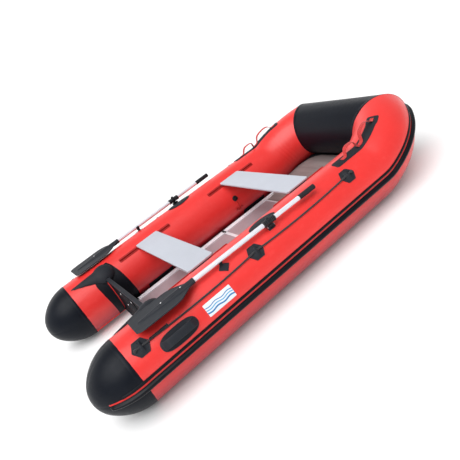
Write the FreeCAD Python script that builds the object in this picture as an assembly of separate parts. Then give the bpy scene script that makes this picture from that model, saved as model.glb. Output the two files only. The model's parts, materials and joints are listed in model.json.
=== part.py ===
import FreeCAD, Part
import os, math

# Inflatable dinghy with aluminium floor, two sliding thwarts and a pair of oars.
# Millimetres. +X towards the bow, +Y to port, +Z up.
# The drawing below is laid out from the joint between the stern cones and the
# side tubes (station 0); everything is shifted to the base centre on export.

V = FreeCAD.Vector

# ---- driving dimensions -------------------------------------------------------
R = 215.0            # buoyancy tube radius (430 mm tubes)
C0 = 588.0           # side tube axis, off the centreline
SKIN = 1.2           # coated fabric thickness
GAP = 0.4            # stand-off of everything bonded on a tube
X_RISE = 1960.0      # where the bow starts to rise
RISE = 16.65         # rise angle, degrees
R_RISE = 350.0       # radius of the rise
TURN = 48.2          # inward turn of the bow quarter, degrees
R_TURN = 534.0       # radius of the turn
CONE_R1, CONE_A1 = 300.0, 50.0   # stern cone shoulder arc

SEAT_Z = 409.0       # top of the thwarts
SEAT_W = 195.0       # fore-aft width of a thwart
SEAT_HALF = 457.0    # half length of a thwart
SEAT_T = 11.5
SEAT_REAR, SEAT_FRONT = 591.0, 1444.0     # aft edges
RAIL_PHI = 128.0     # seat rail, angle on the tube section
RAIL_R = R + 10.0    # bead centre
RAILS = [(424.0, 903.0), (1303.0, 1792.0)]

FLOOR_Z0, FLOOR_Z1 = 69.5, 85.0
FLOOR_HALF = 366.0
FLOOR_X = [(300.0, 760.0), (764.0, 1230.0), (1234.0, 1700.0)]

TR_X0, TR_X1, TR_TOP = 262.0, 287.0, 355.0  # transom board

LOCK_X = 1108.0      # rowlock station
LOCK_PHI = 64.0      # rowlock hinge, angle on the tube section
LOCK_R = R + 14.0    # hinge pin centre
OAR_Z = 452.0        # oar shaft height
OAR_YAW = 2.0        # shaft toes out towards the grip
SHAFT_R = 14.5

ROPE_PHI, ROPE_R, ROPE_D = 48.0, R + 10.5, 11.0
PATCH_X = [93.0, 922.0, 1728.0]

ra, sa, ca = math.radians, lambda d: math.sin(math.radians(d)), lambda d: math.cos(math.radians(d))
AX = V(0, C0, R)     # side tube axis at station 0 (port)


def on_tube(x, phi, r):
    """Point of the port tube at a station, section angle (0 outboard, 90 top) and radius."""
    return V(x, C0 + r * ca(phi), R + r * sa(phi))


def normal(phi):
    return V(0, ca(phi), sa(phi))


def box(x0, x1, y0, y1, z0, z1):
    return Part.makeBox(x1 - x0, y1 - y0, z1 - z0, V(x0, y0, z0))


def cyl(p, d, r, h):
    return Part.makeCylinder(r, h, p, d)


def mir(s):
    m = s.mirror(V(0, 0, 0), V(0, 1, 0))
    return m


def turned(s, p, d, a):
    c = s.copy()
    c.rotate(p, d, a)
    return c


def moved(s, v):
    c = s.copy()
    c.translate(v)
    return c


def fuse(lst):
    s = lst[0]
    if len(lst) > 1:
        s = s.fuse(lst[1:])
    return s


def solids(s):
    return list(s.Solids)


def biggest(s):
    return max(s.Solids, key=lambda q: q.Volume)


def sector(r0, r1, a0, a1, x=0.0):
    """Annular sector face across the tube section."""
    p = [on_tube(x, a0, r0), on_tube(x, a1, r0), on_tube(x, a1, r1), on_tube(x, a0, r1)]
    am = (a0 + a1) / 2.0
    e = [Part.Arc(p[0], on_tube(x, am, r0), p[1]).toShape(), Part.makeLine(p[1], p[2]),
         Part.Arc(p[2], on_tube(x, am, r1), p[3]).toShape(), Part.makeLine(p[3], p[0])]
    return Part.Face(Part.Wire(e))


def disc(r, x=0.0):
    return Part.Face(Part.Wire(Part.makeCircle(r, V(x, C0, R), V(1, 0, 0))))


# ---- side tube path: straight, rise, turn, short straight into the mitre ---------
P2 = V(X_RISE, C0, R + R_RISE)                       # centre of the rise
D2 = V(0, -1, 0)
E2 = V(X_RISE + R_RISE * sa(RISE), C0, R + R_RISE * (1 - ca(RISE)))
P3 = V(E2.x, C0 - R_TURN, E2.z)                      # centre of the turn
D3 = V(sa(RISE), 0, -ca(RISE))
T2 = V(ca(RISE), 0, sa(RISE))
E3 = E2 + T2 * (R_TURN * sa(TURN)) + V(0, -1, 0) * (R_TURN * (1 - ca(TURN)))
T3 = T2 * ca(TURN) + V(0, -1, 0) * sa(TURN)
MITRE_N = (T3 + V(0, -1, 0))
MITRE_N.normalize()
UPB = V(-sa(RISE), 0, ca(RISE))                      # section 'up' at the bow
OUTB = V(ca(RISE), 0, sa(RISE))                      # section 'out' on the bow tube


def sweep(face, x0=0.0, x1=X_RISE, rise=True, turn=TURN, tail=160.0):
    """Sweep a section face (drawn at station 0) along the port tube path."""
    out = [moved(face, V(x0, 0, 0)).extrude(V(x1 - x0, 0, 0))]
    if rise:
        f2 = moved(face, V(X_RISE, 0, 0))
        out.append(f2.revolve(P2, D2, RISE))
        f3 = turned(f2, P2, D2, RISE)
        out.append(f3.revolve(P3, D3, turn))
        if tail > 0:
            f4 = turned(f3, P3, D3, turn)
            out.append(f4.extrude(T3 * tail))
    return fuse(out)


def half_space(point, nrm, size=3000.0):
    """Big box on the +nrm side of a plane."""
    b = Part.makeBox(size, size, size, V(-size / 2, -size / 2, 0))
    rot = FreeCAD.Rotation(V(0, 0, 1), nrm)
    b.Placement = FreeCAD.Placement(point, rot)
    return b


BEYOND = half_space(E3, MITRE_N)                     # bow side of the port mitre
BEYOND_A = half_space(E3 - MITRE_N * 0.2, MITRE_N)   # trims the side tube 0.2 short
NEAR_A = half_space(E3 + MITRE_N * 0.2, MITRE_N * -1)


def bow_part(face_maker):
    """Extrude a section along the bow tube and trim both ends at the mitres."""
    f = face_maker()
    s = f.extrude(V(0, -2 * 700.0, 0))
    s = s.cut(NEAR_A).cut(mir(NEAR_A))
    return biggest(s)


def bow_face(kind, *a):
    def pt(phi, r):
        return V(E3.x, 700.0, E3.z) + OUTB * (r * ca(phi)) + UPB * (r * sa(phi))
    if kind == "ring":
        ro, ri = a
        o = Part.Wire(Part.makeCircle(ro, V(E3.x, 700.0, E3.z), V(0, 1, 0)))
        i = Part.Wire(Part.makeCircle(ri, V(E3.x, 700.0, E3.z), V(0, 1, 0)))
        return Part.Face(o).cut(Part.Face(i))
    if kind == "disc":
        return Part.Face(Part.Wire(Part.makeCircle(a[0], V(E3.x, 700.0, E3.z), V(0, 1, 0))))
    if kind == "strake":
        return strake_face(pt, *a)
    r0, r1, a0, a1 = a
    p = [pt(a0, r0), pt(a1, r0), pt(a1, r1), pt(a0, r1)]
    am = (a0 + a1) / 2
    e = [Part.Arc(p[0], pt(am, r0), p[1]).toShape(), Part.makeLine(p[1], p[2]),
         Part.Arc(p[2], pt(am, r1), p[3]).toShape(), Part.makeLine(p[3], p[0])]
    return Part.Face(Part.Wire(e))


def strake_face(pt, a0, a1, h, edge):
    """D-section rubbing strake: base on the tube, domed outer face."""
    r0 = R + GAP
    am = (a0 + a1) / 2
    p = [pt(a0, r0), pt(a1, r0), pt(a1, r0 + edge), pt(a0, r0 + edge)]
    e = [Part.Arc(p[0], pt(am, r0), p[1]).toShape(), Part.makeLine(p[1], p[2]),
         Part.Arc(p[2], pt(am, r0 + h), p[3]).toShape(), Part.makeLine(p[3], p[0])]
    return Part.Face(Part.Wire(e))


N = {}
# ---- buoyancy tubes ------------------------------------------------------------
out_p = biggest(sweep(disc(R), x0=GAP).cut(BEYOND_A))
in_p = sweep(disc(R - SKIN), x0=-50.0, tail=260.0)
side = out_p.cut(in_p)
VALVE_X, VALVE_PHI = 1468.0, 169.0
vn = normal(VALVE_PHI)
side = side.cut(cyl(on_tube(VALVE_X, VALVE_PHI, R - 8), vn, 15.6, 16))
side = biggest(side)
N["port_side_tube"] = [side]
N["starboard_side_tube"] = [mir(side)]
N["bow_tube"] = [bow_part(lambda: bow_face("ring", R, R - SKIN))]

CUT_P = sweep(disc(R + GAP), x0=-50.0, tail=300.0)   # tube envelope, for trimming
CUT_B = bow_face("disc", R + GAP).extrude(V(0, -1400, 0))
env = [CUT_P, mir(CUT_P), CUT_B]

# stern cone: shoulder arc running into a blunt round end
r1o, r1i = CONE_R1, CONE_R1 - SKIN
c1r = R - CONE_R1
end_r = c1r + CONE_R1 * ca(CONE_A1)
R2 = end_r / ca(CONE_A1)
c2x = -CONE_R1 * sa(CONE_A1) + R2 * sa(CONE_A1)
TIP_X = c2x - R2


def prof(x, r):
    return V(x, C0, R + r)


def arc1(rr, a):
    return prof(-rr * sa(a), c1r + rr * ca(a))


def arc2(rr, a):
    return prof(c2x - rr * sa(a), rr * ca(a))


o0, o1, o2 = arc1(r1o, 0), arc1(r1o, CONE_A1), arc2(R2, 90)
i0, i1, i2 = arc1(r1i, 0), arc1(r1i, CONE_A1), arc2(R2 - SKIN, 90)
mid2 = (CONE_A1 + 90) / 2
w = Part.Wire([Part.Arc(o0, arc1(r1o, CONE_A1 / 2), o1).toShape(), Part.Arc(o1, arc2(R2, mid2), o2).toShape(),
               Part.makeLine(o2, i2), Part.Arc(i2, arc2(R2 - SKIN, mid2), i1).toShape(),
               Part.Arc(i1, arc1(r1i, CONE_A1 / 2), i0).toShape(), Part.makeLine(i0, o0)])
cone = Part.Face(w).revolve(AX, V(1, 0, 0), 360)
cone = cone if cone.ShapeType == "Solid" else biggest(cone)
N["port_stern_cone"] = [cone]
N["starboard_stern_cone"] = [mir(cone)]

# diaphragms that divide the air into port, bow and starboard chambers
f = moved(disc(R - SKIN - 0.3), V(X_RISE, 0, 0))
f = turned(f, P2, D2, RISE)
f = turned(f, P3, D3, TURN - 19)
Td = T2 * ca(TURN - 19) + V(0, -1, 0) * sa(TURN - 19)
dia = f.extrude(Td * 1.0)
N["chamber_diaphragms"] = [dia, mir(dia)]

# ---- bottom skin, keel ---------------------------------------------------------
KZ = 14.0
SLOPE = 46.0 / 372.0


def vee(t0, t1):
    """V-bottom section, between two heights above the sheet's underside."""
    pts = [(-520, KZ + SLOPE * 460), (-60, KZ), (60, KZ), (520, KZ + SLOPE * 460)]
    lo = [V(0, y, z + t0) for y, z in pts]
    hi = [V(0, y, z + t1) for y, z in reversed(pts)]
    return Part.Face(Part.makePolygon(lo + hi + [lo[0]]))


fv = vee(0, 1.5)
b1 = moved(fv, V(252, 0, 0)).extrude(V(X_RISE - 252, 0, 0))
f2 = moved(fv, V(X_RISE, 0, 0))
b2 = f2.revolve(P2, D2, RISE)
f3 = turned(f2, P2, D2, RISE)
b3 = f3.extrude(T2 * 420)
sheet = fuse([b1, b2, b3])
for e in env:
    sheet = sheet.cut(e)
N["bottom_skin"] = [biggest(sheet)]
SHEET_CLEAR = moved(vee(-0.5, 2.0), V(150, 0, 0)).extrude(V(X_RISE - 150, 0, 0))

kr, kz = 24.0, 40.8
k_out = fuse([cyl(V(360, 0, kz), V(1, 0, 0), kr, 1500), Part.makeSphere(kr, V(360, 0, kz)), Part.makeSphere(kr, V(1860, 0, kz))])
k_in = fuse([cyl(V(360, 0, kz), V(1, 0, 0), kr - 1.2, 1500), Part.makeSphere(kr - 1.2, V(360, 0, kz)), Part.makeSphere(kr - 1.2, V(1860, 0, kz))])
N["keel_tube"] = [biggest(k_out.cut(k_in))]

# ---- transom -------------------------------------------------------------------
poly = [V(TR_X0, -560, 20 + SLOPE * 500), V(TR_X0, -60, 20), V(TR_X0, 60, 20), V(TR_X0, 560, 20 + SLOPE * 500),
        V(TR_X0, 560, TR_TOP), V(TR_X0, -560, TR_TOP), V(TR_X0, -560, 20 + SLOPE * 500)]
tr = Part.Face(Part.makePolygon(poly)).extrude(V(TR_X1 - TR_X0, 0, 0))
tube_clear = cyl(V(0, C0, R), V(1, 0, 0), R + 1.0, 600)
tr = tr.cut(tube_clear).cut(mir(tube_clear))
tr = biggest(tr)
N["transom_board"] = [tr]
N["outer_motor_pad"] = [box(TR_X0 - 5.4, TR_X0 - GAP, -130, 130, 200, TR_TOP - 14)]
N["inner_motor_pad"] = [box(TR_X1 + GAP, TR_X1 + 5.4, -150, 150, 215, TR_TOP - 12)]

# moulded corner horns over the transom ends: pointed tail aft, round knuckle
HOX, HOP = 276.0, 129.0
lobe = Part.makeSphere(78, V(0, 0, 0))
axis_h = V(-262, 54, -10)
tail = Part.makeCone(66, 6, axis_h.Length, V(0, 0, 0), axis_h)
m = FreeCAD.Matrix()
m.scale(1.06, 1.0, 0.60)
horn = fuse([lobe.transformGeometry(m), tail.transformGeometry(m)])
hm = FreeCAD.Placement()
hn_, ht_ = normal(HOP), V(0, sa(HOP), -ca(HOP))
hp_ = on_tube(HOX, HOP, R - 4)
hm.Matrix = FreeCAD.Matrix(1, ht_.x, hn_.x, hp_.x, 0, ht_.y, hn_.y, hp_.y, 0, ht_.z, hn_.z, hp_.z, 0, 0, 0, 1)
horn.Placement = hm
horn = horn.cut(cyl(V(-400, C0, R), V(1, 0, 0), R + GAP, 1200))
horn = horn.cut(box(TR_X0 - 0.8, TR_X1 + 0.8, 200, 600, -10, TR_TOP + GAP))
horn = horn.cut(box(-100, 600, 545, 900, 0, 900))
horn = biggest(horn)
N["port_transom_horn"] = [horn]
N["starboard_transom_horn"] = [mir(horn)]

# fabric flanges that glue the board to the tubes, fore and aft
fl_f = sector(R + GAP, R + 2.4, 108, 231).extrude(V(116, 0, 0))
fl_f = moved(fl_f, V(TR_X1 + 6.4, 0, 0))
fl_a = moved(sector(R + GAP, R + 2.4, 134, 231).extrude(V(78, 0, 0)), V(TR_X0 - 84, 0, 0))
hn = horn.copy()
fl = []
for s in (fl_f, fl_a):
    s = s.cut(horn).cut(SHEET_CLEAR)
    s = biggest(s)
    fl += [s, mir(s)]
N["transom_flanges"] = fl

# ---- floor ---------------------------------------------------------------------
for nm, (x0, x1) in zip(("floor_panel_aft", "floor_panel_mid", "floor_panel_fore"), FLOOR_X):
    p = box(x0, x1, -FLOOR_HALF, FLOOR_HALF, FLOOR_Z0, FLOOR_Z1)
    n = 9
    w_ = 2 * (FLOOR_HALF - 2.0) / n
    cut = [box(x0 - 1, x1 + 1, -FLOOR_HALF + 2 + i * w_ + 1, -FLOOR_HALF + 2 + (i + 1) * w_ - 1, FLOOR_Z0 + 1.8, FLOOR_Z1 - 1.8) for i in range(n)]
    N[nm] = [biggest(p.cut(cut))]

jn = []
for x in (762.0, 1232.0, 1702.0):
    top = box(x - 13, x + 13, -326, 326, FLOOR_Z1 + GAP, FLOOR_Z1 + 2.8)
    web = box(x - 1.4, x + 1.4, -326, 326, FLOOR_Z0 - 1, FLOOR_Z1 + 1)
    bot = box(x - 13, x + 13, -326, 326, FLOOR_Z0 - 2.8, FLOOR_Z0 - GAP)
    jn.append(fuse([top, web, bot]).removeSplitter().Solids[0])

# bow board, rising with the hull
bo = [(1704, 352), (1838, 352), (1846, 384), (1870, 396), (2060, 398), (2180, 388), (2262, 352), (2306, 300), (2326, 236)]
bo = [V(a, b, 0) for a, b in bo] + [V(a, -b, 0) for a, b in bo[::-1]]
bb = Part.Face(Part.makePolygon(bo + bo[:1])).extrude(V(0, 0, 12))
bb.translate(V(0, 0, FLOOR_Z0 + 1.5))
bb.rotate(V(1704, 0, FLOOR_Z0 + 1.5), V(0, -1, 0), 6.0)
bb = biggest(bb.cut(env))
jn[2] = jn[2].cut(half_space(V(1702.4, 0, 0), V(1, 0, 0)))
jn[2] = biggest(jn[2])
N["bow_board"] = [bb]
N["floor_joiners"] = jn

st = box(372, 1832, 330, 382, 64.5, 92).cut(box(300, 1900, 300, 368, FLOOR_Z0 - GAP, FLOOR_Z1 + GAP))
st = st.cut(box(1690, 1900, 320, 364, 60, 100))
st = biggest(st)
N["floor_stringers"] = [st, mir(st)]

pads = []
for x0, x1 in ((500, 735), (1500, 1735)):
    s = moved(sector(R + GAP, R + 2.4, 207, 232).extrude(V(x1 - x0, 0, 0)), V(x0, 0, 0))
    s = biggest(s.cut(SHEET_CLEAR))
    pads += [s, mir(s)]
N["chafe_pads"] = pads

# ---- seats and their rails -----------------------------------------------------
rails = []
for x0, x1 in RAILS:
    foot = sector(R + GAP, R + 1.0, RAIL_PHI - 5, RAIL_PHI + 5).extrude(V(x1 - x0, 0, 0))
    fin = sector(R + 0.6, RAIL_R, RAIL_PHI - 0.2, RAIL_PHI + 0.2).extrude(V(x1 - x0, 0, 0))
    bead = cyl(on_tube(0, RAIL_PHI, RAIL_R), V(1, 0, 0), 3.2, x1 - x0)
    s = moved(biggest(fuse([foot, fin, bead])), V(x0, 0, 0))
    rails += [s, mir(s)]
N["seat_rails"] = rails


def clip(x0, x1):
    c = cyl(on_tube(x0, RAIL_PHI, RAIL_R), V(1, 0, 0), 8.0, x1 - x0)
    c = c.cut(cyl(on_tube(x0 - 1, RAIL_PHI, RAIL_R), V(1, 0, 0), 4.0, x1 - x0 + 2))
    slot = sector(R - 5, RAIL_R, RAIL_PHI - 0.6, RAIL_PHI + 0.6).extrude(V(x1 - x0 + 2, 0, 0))
    c = c.cut(moved(slot, V(x0 - 1, 0, 0)))
    c = c.cut(box(x0 - 5, x1 + 5, 300, 600, SEAT_Z - SEAT_T - GAP, 500))
    return biggest(c)


for nm, x0 in (("rear", SEAT_REAR), ("front", SEAT_FRONT)):
    p = box(x0, x0 + SEAT_W, -SEAT_HALF, SEAT_HALF, SEAT_Z - SEAT_T, SEAT_Z)
    p = p.makeFillet(14, [e for e in p.Edges if e.BoundBox.ZLength > SEAT_T - 1])
    hol = [box(x0 + 3 + i * (SEAT_W - 6) / 5 + 0.9, x0 + 3 + (i + 1) * (SEAT_W - 6) / 5 - 0.9, -SEAT_HALF - 5 + 8, SEAT_HALF - 3, SEAT_Z - SEAT_T + 1.8, SEAT_Z - 1.8) for i in range(5)]
    p = biggest(p.cut(hol))
    N[nm + "_seat"] = [p]
    c = clip(x0 + 22.5, x0 + SEAT_W - 22.5)
    N[nm + "_seat_clips"] = [c, mir(c)]

# ---- rubbing strakes -----------------------------------------------------------
pt0 = lambda phi, r: on_tube(0, phi, r)


def strake(a0, a1, h, edge, run):
    face = strake_face(pt0, a0, a1, h, edge)
    body = sweep(moved(face, V(0, 0, 0)), x0=0.0)
    # over the stern cone the strake bends in towards the tube axis
    am = (a0 + a1) / 2
    axis = V(0, -sa(am), ca(am))
    centre = V(0, C0, R) + normal(am) * (R - CONE_R1)
    back = face.revolve(centre, axis * -1, run)
    if back.BoundBox.XMin > -50:
        back = face.revolve(centre, axis, run)
    s = body.fuse(back)
    s = s.cut(BEYOND_A)
    s = biggest(s)
    b = bow_part(lambda: bow_face("strake", a0, a1, h, edge))
    return [s, b, mir(s)]


N["rub_rails"] = strake(-8.4, 2.0, 21.0, 9.0, 44)
N["rub_strips"] = strake(4.8, 9.6, 5.0, 3.0, 30)


# ---- bonded patches ------------------------------------------------------------
def plate(x, phi, outline, t):
    """Curved plate bonded on the port tube: outline is (along, up) in mm."""
    n = normal(phi)
    up = V(0, -sa(phi), ca(phi))
    base = on_tube(x, phi, R - 60)
    pts = [base + V(1, 0, 0) * a + up * b for a, b in outline]
    prism = Part.Face(Part.makePolygon(pts + [pts[0]])).extrude(n * 140)
    ring = cyl(V(x - 300, C0, R), V(1, 0, 0), R + t, 600).cut(cyl(V(x - 301, C0, R), V(1, 0, 0), R + GAP, 602))
    return biggest(prism.common(ring))


def ellipse(a, b, n=28, pw=1.0):
    o = []
    for i in range(n):
        t = 2 * math.pi * i / n
        c, s = math.cos(t), math.sin(t)
        o.append((a * math.copysign(abs(c) ** pw, c), b * math.copysign(abs(s) ** pw, s)))
    return o


hexagon = [(58 * ca(60 * i), 56 * sa(60 * i)) for i in range(6)]
lp = []
for x in PATCH_X:
    s = plate(x, ROPE_PHI, hexagon, 4.5)
    boss = cyl(on_tube(x - 20, ROPE_PHI, ROPE_R), V(1, 0, 0), 9.5, 40)
    boss = boss.fuse(moved(sector(R + 2, ROPE_R, ROPE_PHI - 2.4, ROPE_PHI + 2.4).extrude(V(40, 0, 0)), V(x - 20, 0, 0)))
    s = s.fuse(boss).cut(cyl(V(x - 300, C0, R), V(1, 0, 0), R + GAP, 600))
    s = s.cut(cyl(on_tube(x - 60, ROPE_PHI, ROPE_R), V(1, 0, 0), ROPE_D / 2 + GAP, 120))
    lp += [biggest(s), mir(biggest(s))]
N["lifeline_patches"] = lp

rope = cyl(on_tube(62, ROPE_PHI, ROPE_R), V(1, 0, 0), ROPE_D / 2, 1760 - 62)
rope = fuse([rope, Part.makeSphere(9.0, on_tube(60, ROPE_PHI, ROPE_R)), Part.makeSphere(9.0, on_tube(1761, ROPE_PHI, ROPE_R))])
rope = rope.cut(cyl(V(-100, C0, R), V(1, 0, 0), R + 4.9, 2200))
rope = biggest(rope)
N["port_lifeline"] = [rope]
N["starboard_lifeline"] = [mir(rope)]
sl = biggest(cyl(on_tube(152, ROPE_PHI, ROPE_R), V(1, 0, 0), 8.0, 121).cut(cyl(on_tube(100, ROPE_PHI, ROPE_R), V(1, 0, 0), ROPE_D / 2 + GAP, 200)))
N["lifeline_sleeves"] = [sl, mir(sl)]

# aft carry handles: oval base with a raised grip bar
HX, HP = 291.0, 27.2
hb = plate(HX, HP, ellipse(122, 50, 32, 0.72), 5.0)
hn_, hup = normal(HP), V(0, -sa(HP), ca(HP))
hp = [(-108, 3), (-67, 46), (67, 46), (108, 3), (90, 3), (60, 31), (-60, 31), (-90, 3)]
bar = Part.Face(Part.makePolygon([V(HX, C0, R) + V(1, 0, 0) * a + hn_ * (R + r) - hup * 24 for a, r in hp + hp[:1]])).extrude(hup * 48)
hb = biggest(hb.fuse(bar).cut(cyl(V(0, C0, R), V(1, 0, 0), R + GAP, 600)))
N["carry_handles"] = [hb, mir(hb)]

# name panel, plain, on the starboard side only
lab = plate(573.0, 26.5, [(-97, -38), (97, -38), (97, 38), (-97, 38)], 0.9)
N["side_label"] = [mir(lab)]

# forward grab strips along the top of the bow quarters, with webbing loops
gs = sector(R + GAP, R + 4.5, 70.5, 89.5)
g1 = sweep(gs, x0=1746, turn=28.0, tail=0)
gp = biggest(g1)
N["grab_strips"] = [gp, mir(gp)]


def path_point(s_, phi, r):
    """Point, tangent and normal of the port tube at a distance along its axis."""
    p = on_tube(0, phi, r)
    n = normal(phi)
    t = V(1, 0, 0)
    vx = Part.Vertex(p)
    nn = Part.makeLine(p, p + n * 10)
    tt = Part.makeLine(p, p + t * 10)
    a2 = min(max(s_ - X_RISE, 0) / (R_RISE * ra(RISE)), 1.0) * RISE
    a3 = max(s_ - X_RISE - R_RISE * ra(RISE), 0) / R_TURN * 180 / math.pi
    sx = min(s_, X_RISE)
    r_ = []
    for e in (nn, tt):
        e = moved(e, V(sx, 0, 0))
        if a2 > 0:
            e = turned(e, P2, D2, a2)
        if a3 > 0:
            e = turned(e, P3, D3, a3)
        r_.append(e)
    q0, q1 = r_[0].Vertexes[0].Point, r_[0].Vertexes[1].Point
    h0, h1 = r_[1].Vertexes[0].Point, r_[1].Vertexes[1].Point
    return q0, (h1 - h0) * 0.1, (q1 - q0) * 0.1


loops = []
envg = sweep(disc(R + 5.0), x0=1000, tail=100)
for s_, ch in ((1930.0, 82.0), (2174.0, 92.0)):
    q, t, n = path_point(s_, 80.0, R + 4)
    sag = 62.0
    rr = (ch * ch + sag * sag) / (2 * sag)
    b = t.cross(n)
    c = q + n * (sag - rr)
    o = cyl(c - b * 12.5, b, rr, 25).cut(cyl(c - b * 13, b, rr - 2.6, 26))
    o = o.cut(half_space(q - n * 14, n * -1, 600))
    o = o.cut(envg)
    loops += [biggest(o), mir(biggest(o))]
N["grab_loops"] = loops

# ---- tow rings under the bow ---------------------------------------------------
BX, BZ = E3.x, E3.z
TP = -40.0                       # section angle on the bow tube
TY = 285.0
tn = V(ca(TP), 0, sa(TP))
tc = V(BX, TY, BZ)
RING_C = tc + tn * (R + 11)
tpad = cyl(tc + tn * (R - 40), tn, 42, 80).common(
    cyl(V(BX, -600, BZ), V(0, 1, 0), R + 3.4, 1200).cut(cyl(V(BX, -601, BZ), V(0, 1, 0), R + GAP, 1202)))
keep = cyl(RING_C - V(0, 13, 0), V(0, 1, 0), 7.5, 26)
web = Part.makeBox(26, 14, 12, V(-13, -7, -6))
web = Part.makeBox(26, 15, 14, V(-13, -7.5, 0))
web.Placement = FreeCAD.Placement(tc + tn * (R + 1.0), FreeCAD.Rotation(V(0, 0, 1), tn))
web = Part.makeBox(15, 26, 12)
web.Placement = FreeCAD.Placement(V(0, 0, 0), FreeCAD.Rotation(V(0, 1, 0), 90 - TP))
cw = web.BoundBox.Center
web.translate(tc + tn * (R + 7) - cw)
tpad = tpad.fuse([keep, web]).cut(cyl(V(BX, -601, BZ), V(0, 1, 0), R + GAP, 1202))
tpad = biggest(tpad.cut(cyl(RING_C - V(0, 60, 0), V(0, 1, 0), 3.06, 120)))
N["tow_ring_patches"] = [tpad, mir(tpad)]
# D ring hanging straight down from its bar
rb = cyl(RING_C - V(0, 20, 0), V(0, 1, 0), 3.0, 40)
l1 = cyl(RING_C - V(0, 20, 0), V(0, 0, -1), 3.0, 16)
l2 = cyl(RING_C + V(0, 20, 0), V(0, 0, -1), 3.0, 16)
tor = Part.makeTorus(20, 3.0, RING_C - V(0, 0, 16), V(1, 0, 0))
tor = tor.cut(box(2000, 3000, -1000, 1000, RING_C.z - 16, RING_C.z + 60))
ring = fuse([rb, l1, l2, tor, Part.makeSphere(3, RING_C - V(0, 20, 0)), Part.makeSphere(3, RING_C + V(0, 20, 0))])
ring = biggest(ring)
N["port_tow_ring"] = [ring]
N["starboard_tow_ring"] = [mir(ring)]

# ---- inflation valves ----------------------------------------------------------
vb = cyl(on_tube(VALVE_X, VALVE_PHI, R + GAP), vn, 23, 3.2).fuse(cyl(on_tube(VALVE_X, VALVE_PHI, R - 20), vn, 15, 22))
vb = vb.cut(cyl(on_tube(VALVE_X, VALVE_PHI, R - 16), vn, 10, 40))
vb = biggest(vb)
N["valve_bodies"] = [vb, mir(vb)]
cap = cyl(on_tube(VALVE_X, VALVE_PHI, R + 4.2), vn, 21, 8.5)
cap = cap.makeFillet(2.2, [cap.Edges[0]] if False else [e for e in cap.Edges if e.Closed and (e.CenterOfMass - on_tube(VALVE_X, VALVE_PHI, R + 12.7)).Length < 1])
cap = cap.fuse(cyl(on_tube(VALVE_X, VALVE_PHI, R - 8), vn, 9.4, 13))
side_v = V(1, 0, 0)
tv = vn.cross(side_v)
bar = Part.makeBox(34, 6, 6, V(-17, -3, 0))
bar.Placement = FreeCAD.Placement(on_tube(VALVE_X, VALVE_PHI, R + 12.0), FreeCAD.Rotation(V(0, 0, 1), vn))
cap = biggest(cap.fuse(bar))
N["port_valve_cap"] = [cap]
N["starboard_valve_cap"] = [mir(cap)]

# ---- rowlocks ------------------------------------------------------------------
HP_ = on_tube(LOCK_X, LOCK_PHI, LOCK_R)          # hinge centre
SHY = HP_.y                                       # shaft crosses straight above it
base = plate(LOCK_X, 86.5, ellipse(106, 52, 32, 1.15), 5.0)
base = base.fuse(plate(LOCK_X, 69.0, [(-27, -36), (27, -36), (27, 38), (-27, 38)], 5.0))
lug = []
for x0 in (LOCK_X - 22.0, LOCK_X + 14.5):
    l = cyl(V(x0, HP_.y, HP_.z), V(1, 0, 0), 9.0, 7.5)
    ft = sector(R + 2, LOCK_R, LOCK_PHI - 2.2, LOCK_PHI + 2.2).extrude(V(7.5, 0, 0))
    lug += [l, moved(ft, V(x0, 0, 0))]
base = base.fuse(lug).cut(cyl(V(500, C0, R), V(1, 0, 0), R + GAP, 1200))
base = biggest(base.cut(cyl(V(LOCK_X - 60, HP_.y, HP_.z), V(1, 0, 0), 4.02, 120)))
N["rowlock_bases"] = [base, mir(base)]
pin = cyl(V(LOCK_X - 23.5, HP_.y, HP_.z), V(1, 0, 0), 4.0, 47)
pin = pin.fuse([cyl(V(LOCK_X - 26.5, HP_.y, HP_.z), V(1, 0, 0), 6.5, 3.4), cyl(V(LOCK_X + 23.1, HP_.y, HP_.z), V(1, 0, 0), 6.5, 3.4)])
pin = biggest(pin)
N["rowlock_pins"] = [pin, mir(pin)]
blk = cyl(V(LOCK_X - 14, HP_.y, HP_.z), V(1, 0, 0), 8.8, 28)
blk = blk.fuse([box(LOCK_X - 12, LOCK_X + 12, HP_.y - 8.8, HP_.y + 8.8, HP_.z, HP_.z + 11.6),
                cyl(V(LOCK_X, HP_.y, HP_.z + 6), V(0, 0, 1), 5.0, OAR_Z + 31 - HP_.z - 6)])
blk = biggest(blk.cut(cyl(V(LOCK_X - 60, HP_.y, HP_.z), V(1, 0, 0), 4.06, 120)))
N["port_rowlock_swivel"] = [blk]
N["starboard_rowlock_swivel"] = [mir(blk)]
nz = OAR_Z + 20.5
hexn = Part.Face(Part.makePolygon([V(LOCK_X + 10.5 * ca(60 * i), SHY + 10.5 * sa(60 * i), nz) for i in range(7)])).extrude(V(0, 0, 8))
hexn = hexn.fuse(cyl(V(LOCK_X, SHY, nz), V(0, 0, 1), 12.5, 2.0)).cut(cyl(V(LOCK_X, SHY, nz - 5), V(0, 0, 1), 5.0, 40))
hexn = biggest(hexn)
N["port_rowlock_nut"] = [hexn]
N["starboard_rowlock_nut"] = [mir(hexn)]

# oar keeper: diamond patch with a J hook under and inboard of the shaft
KX = 724.0
ky = SHY - (LOCK_X - KX) * math.tan(ra(OAR_YAW))
kp = plate(KX, 62.0, [(-40, 0), (0, -38), (40, 0), (0, 38)], 4.5)


def ring_sector(cx, cy, cz, r0, r1, a0, a1, wdt):
    def q(a, r):
        return V(cx - wdt / 2, cy + r * ca(a), cz + r * sa(a))
    am = (a0 + a1) / 2
    e = [Part.Arc(q(a0, r0), q(am, r0), q(a1, r0)).toShape(), Part.makeLine(q(a1, r0), q(a1, r1)),
         Part.Arc(q(a1, r1), q(am, r1), q(a0, r1)).toShape(), Part.makeLine(q(a0, r1), q(a0, r0))]
    return Part.Face(Part.Wire(e)).extrude(V(wdt, 0, 0))


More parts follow.
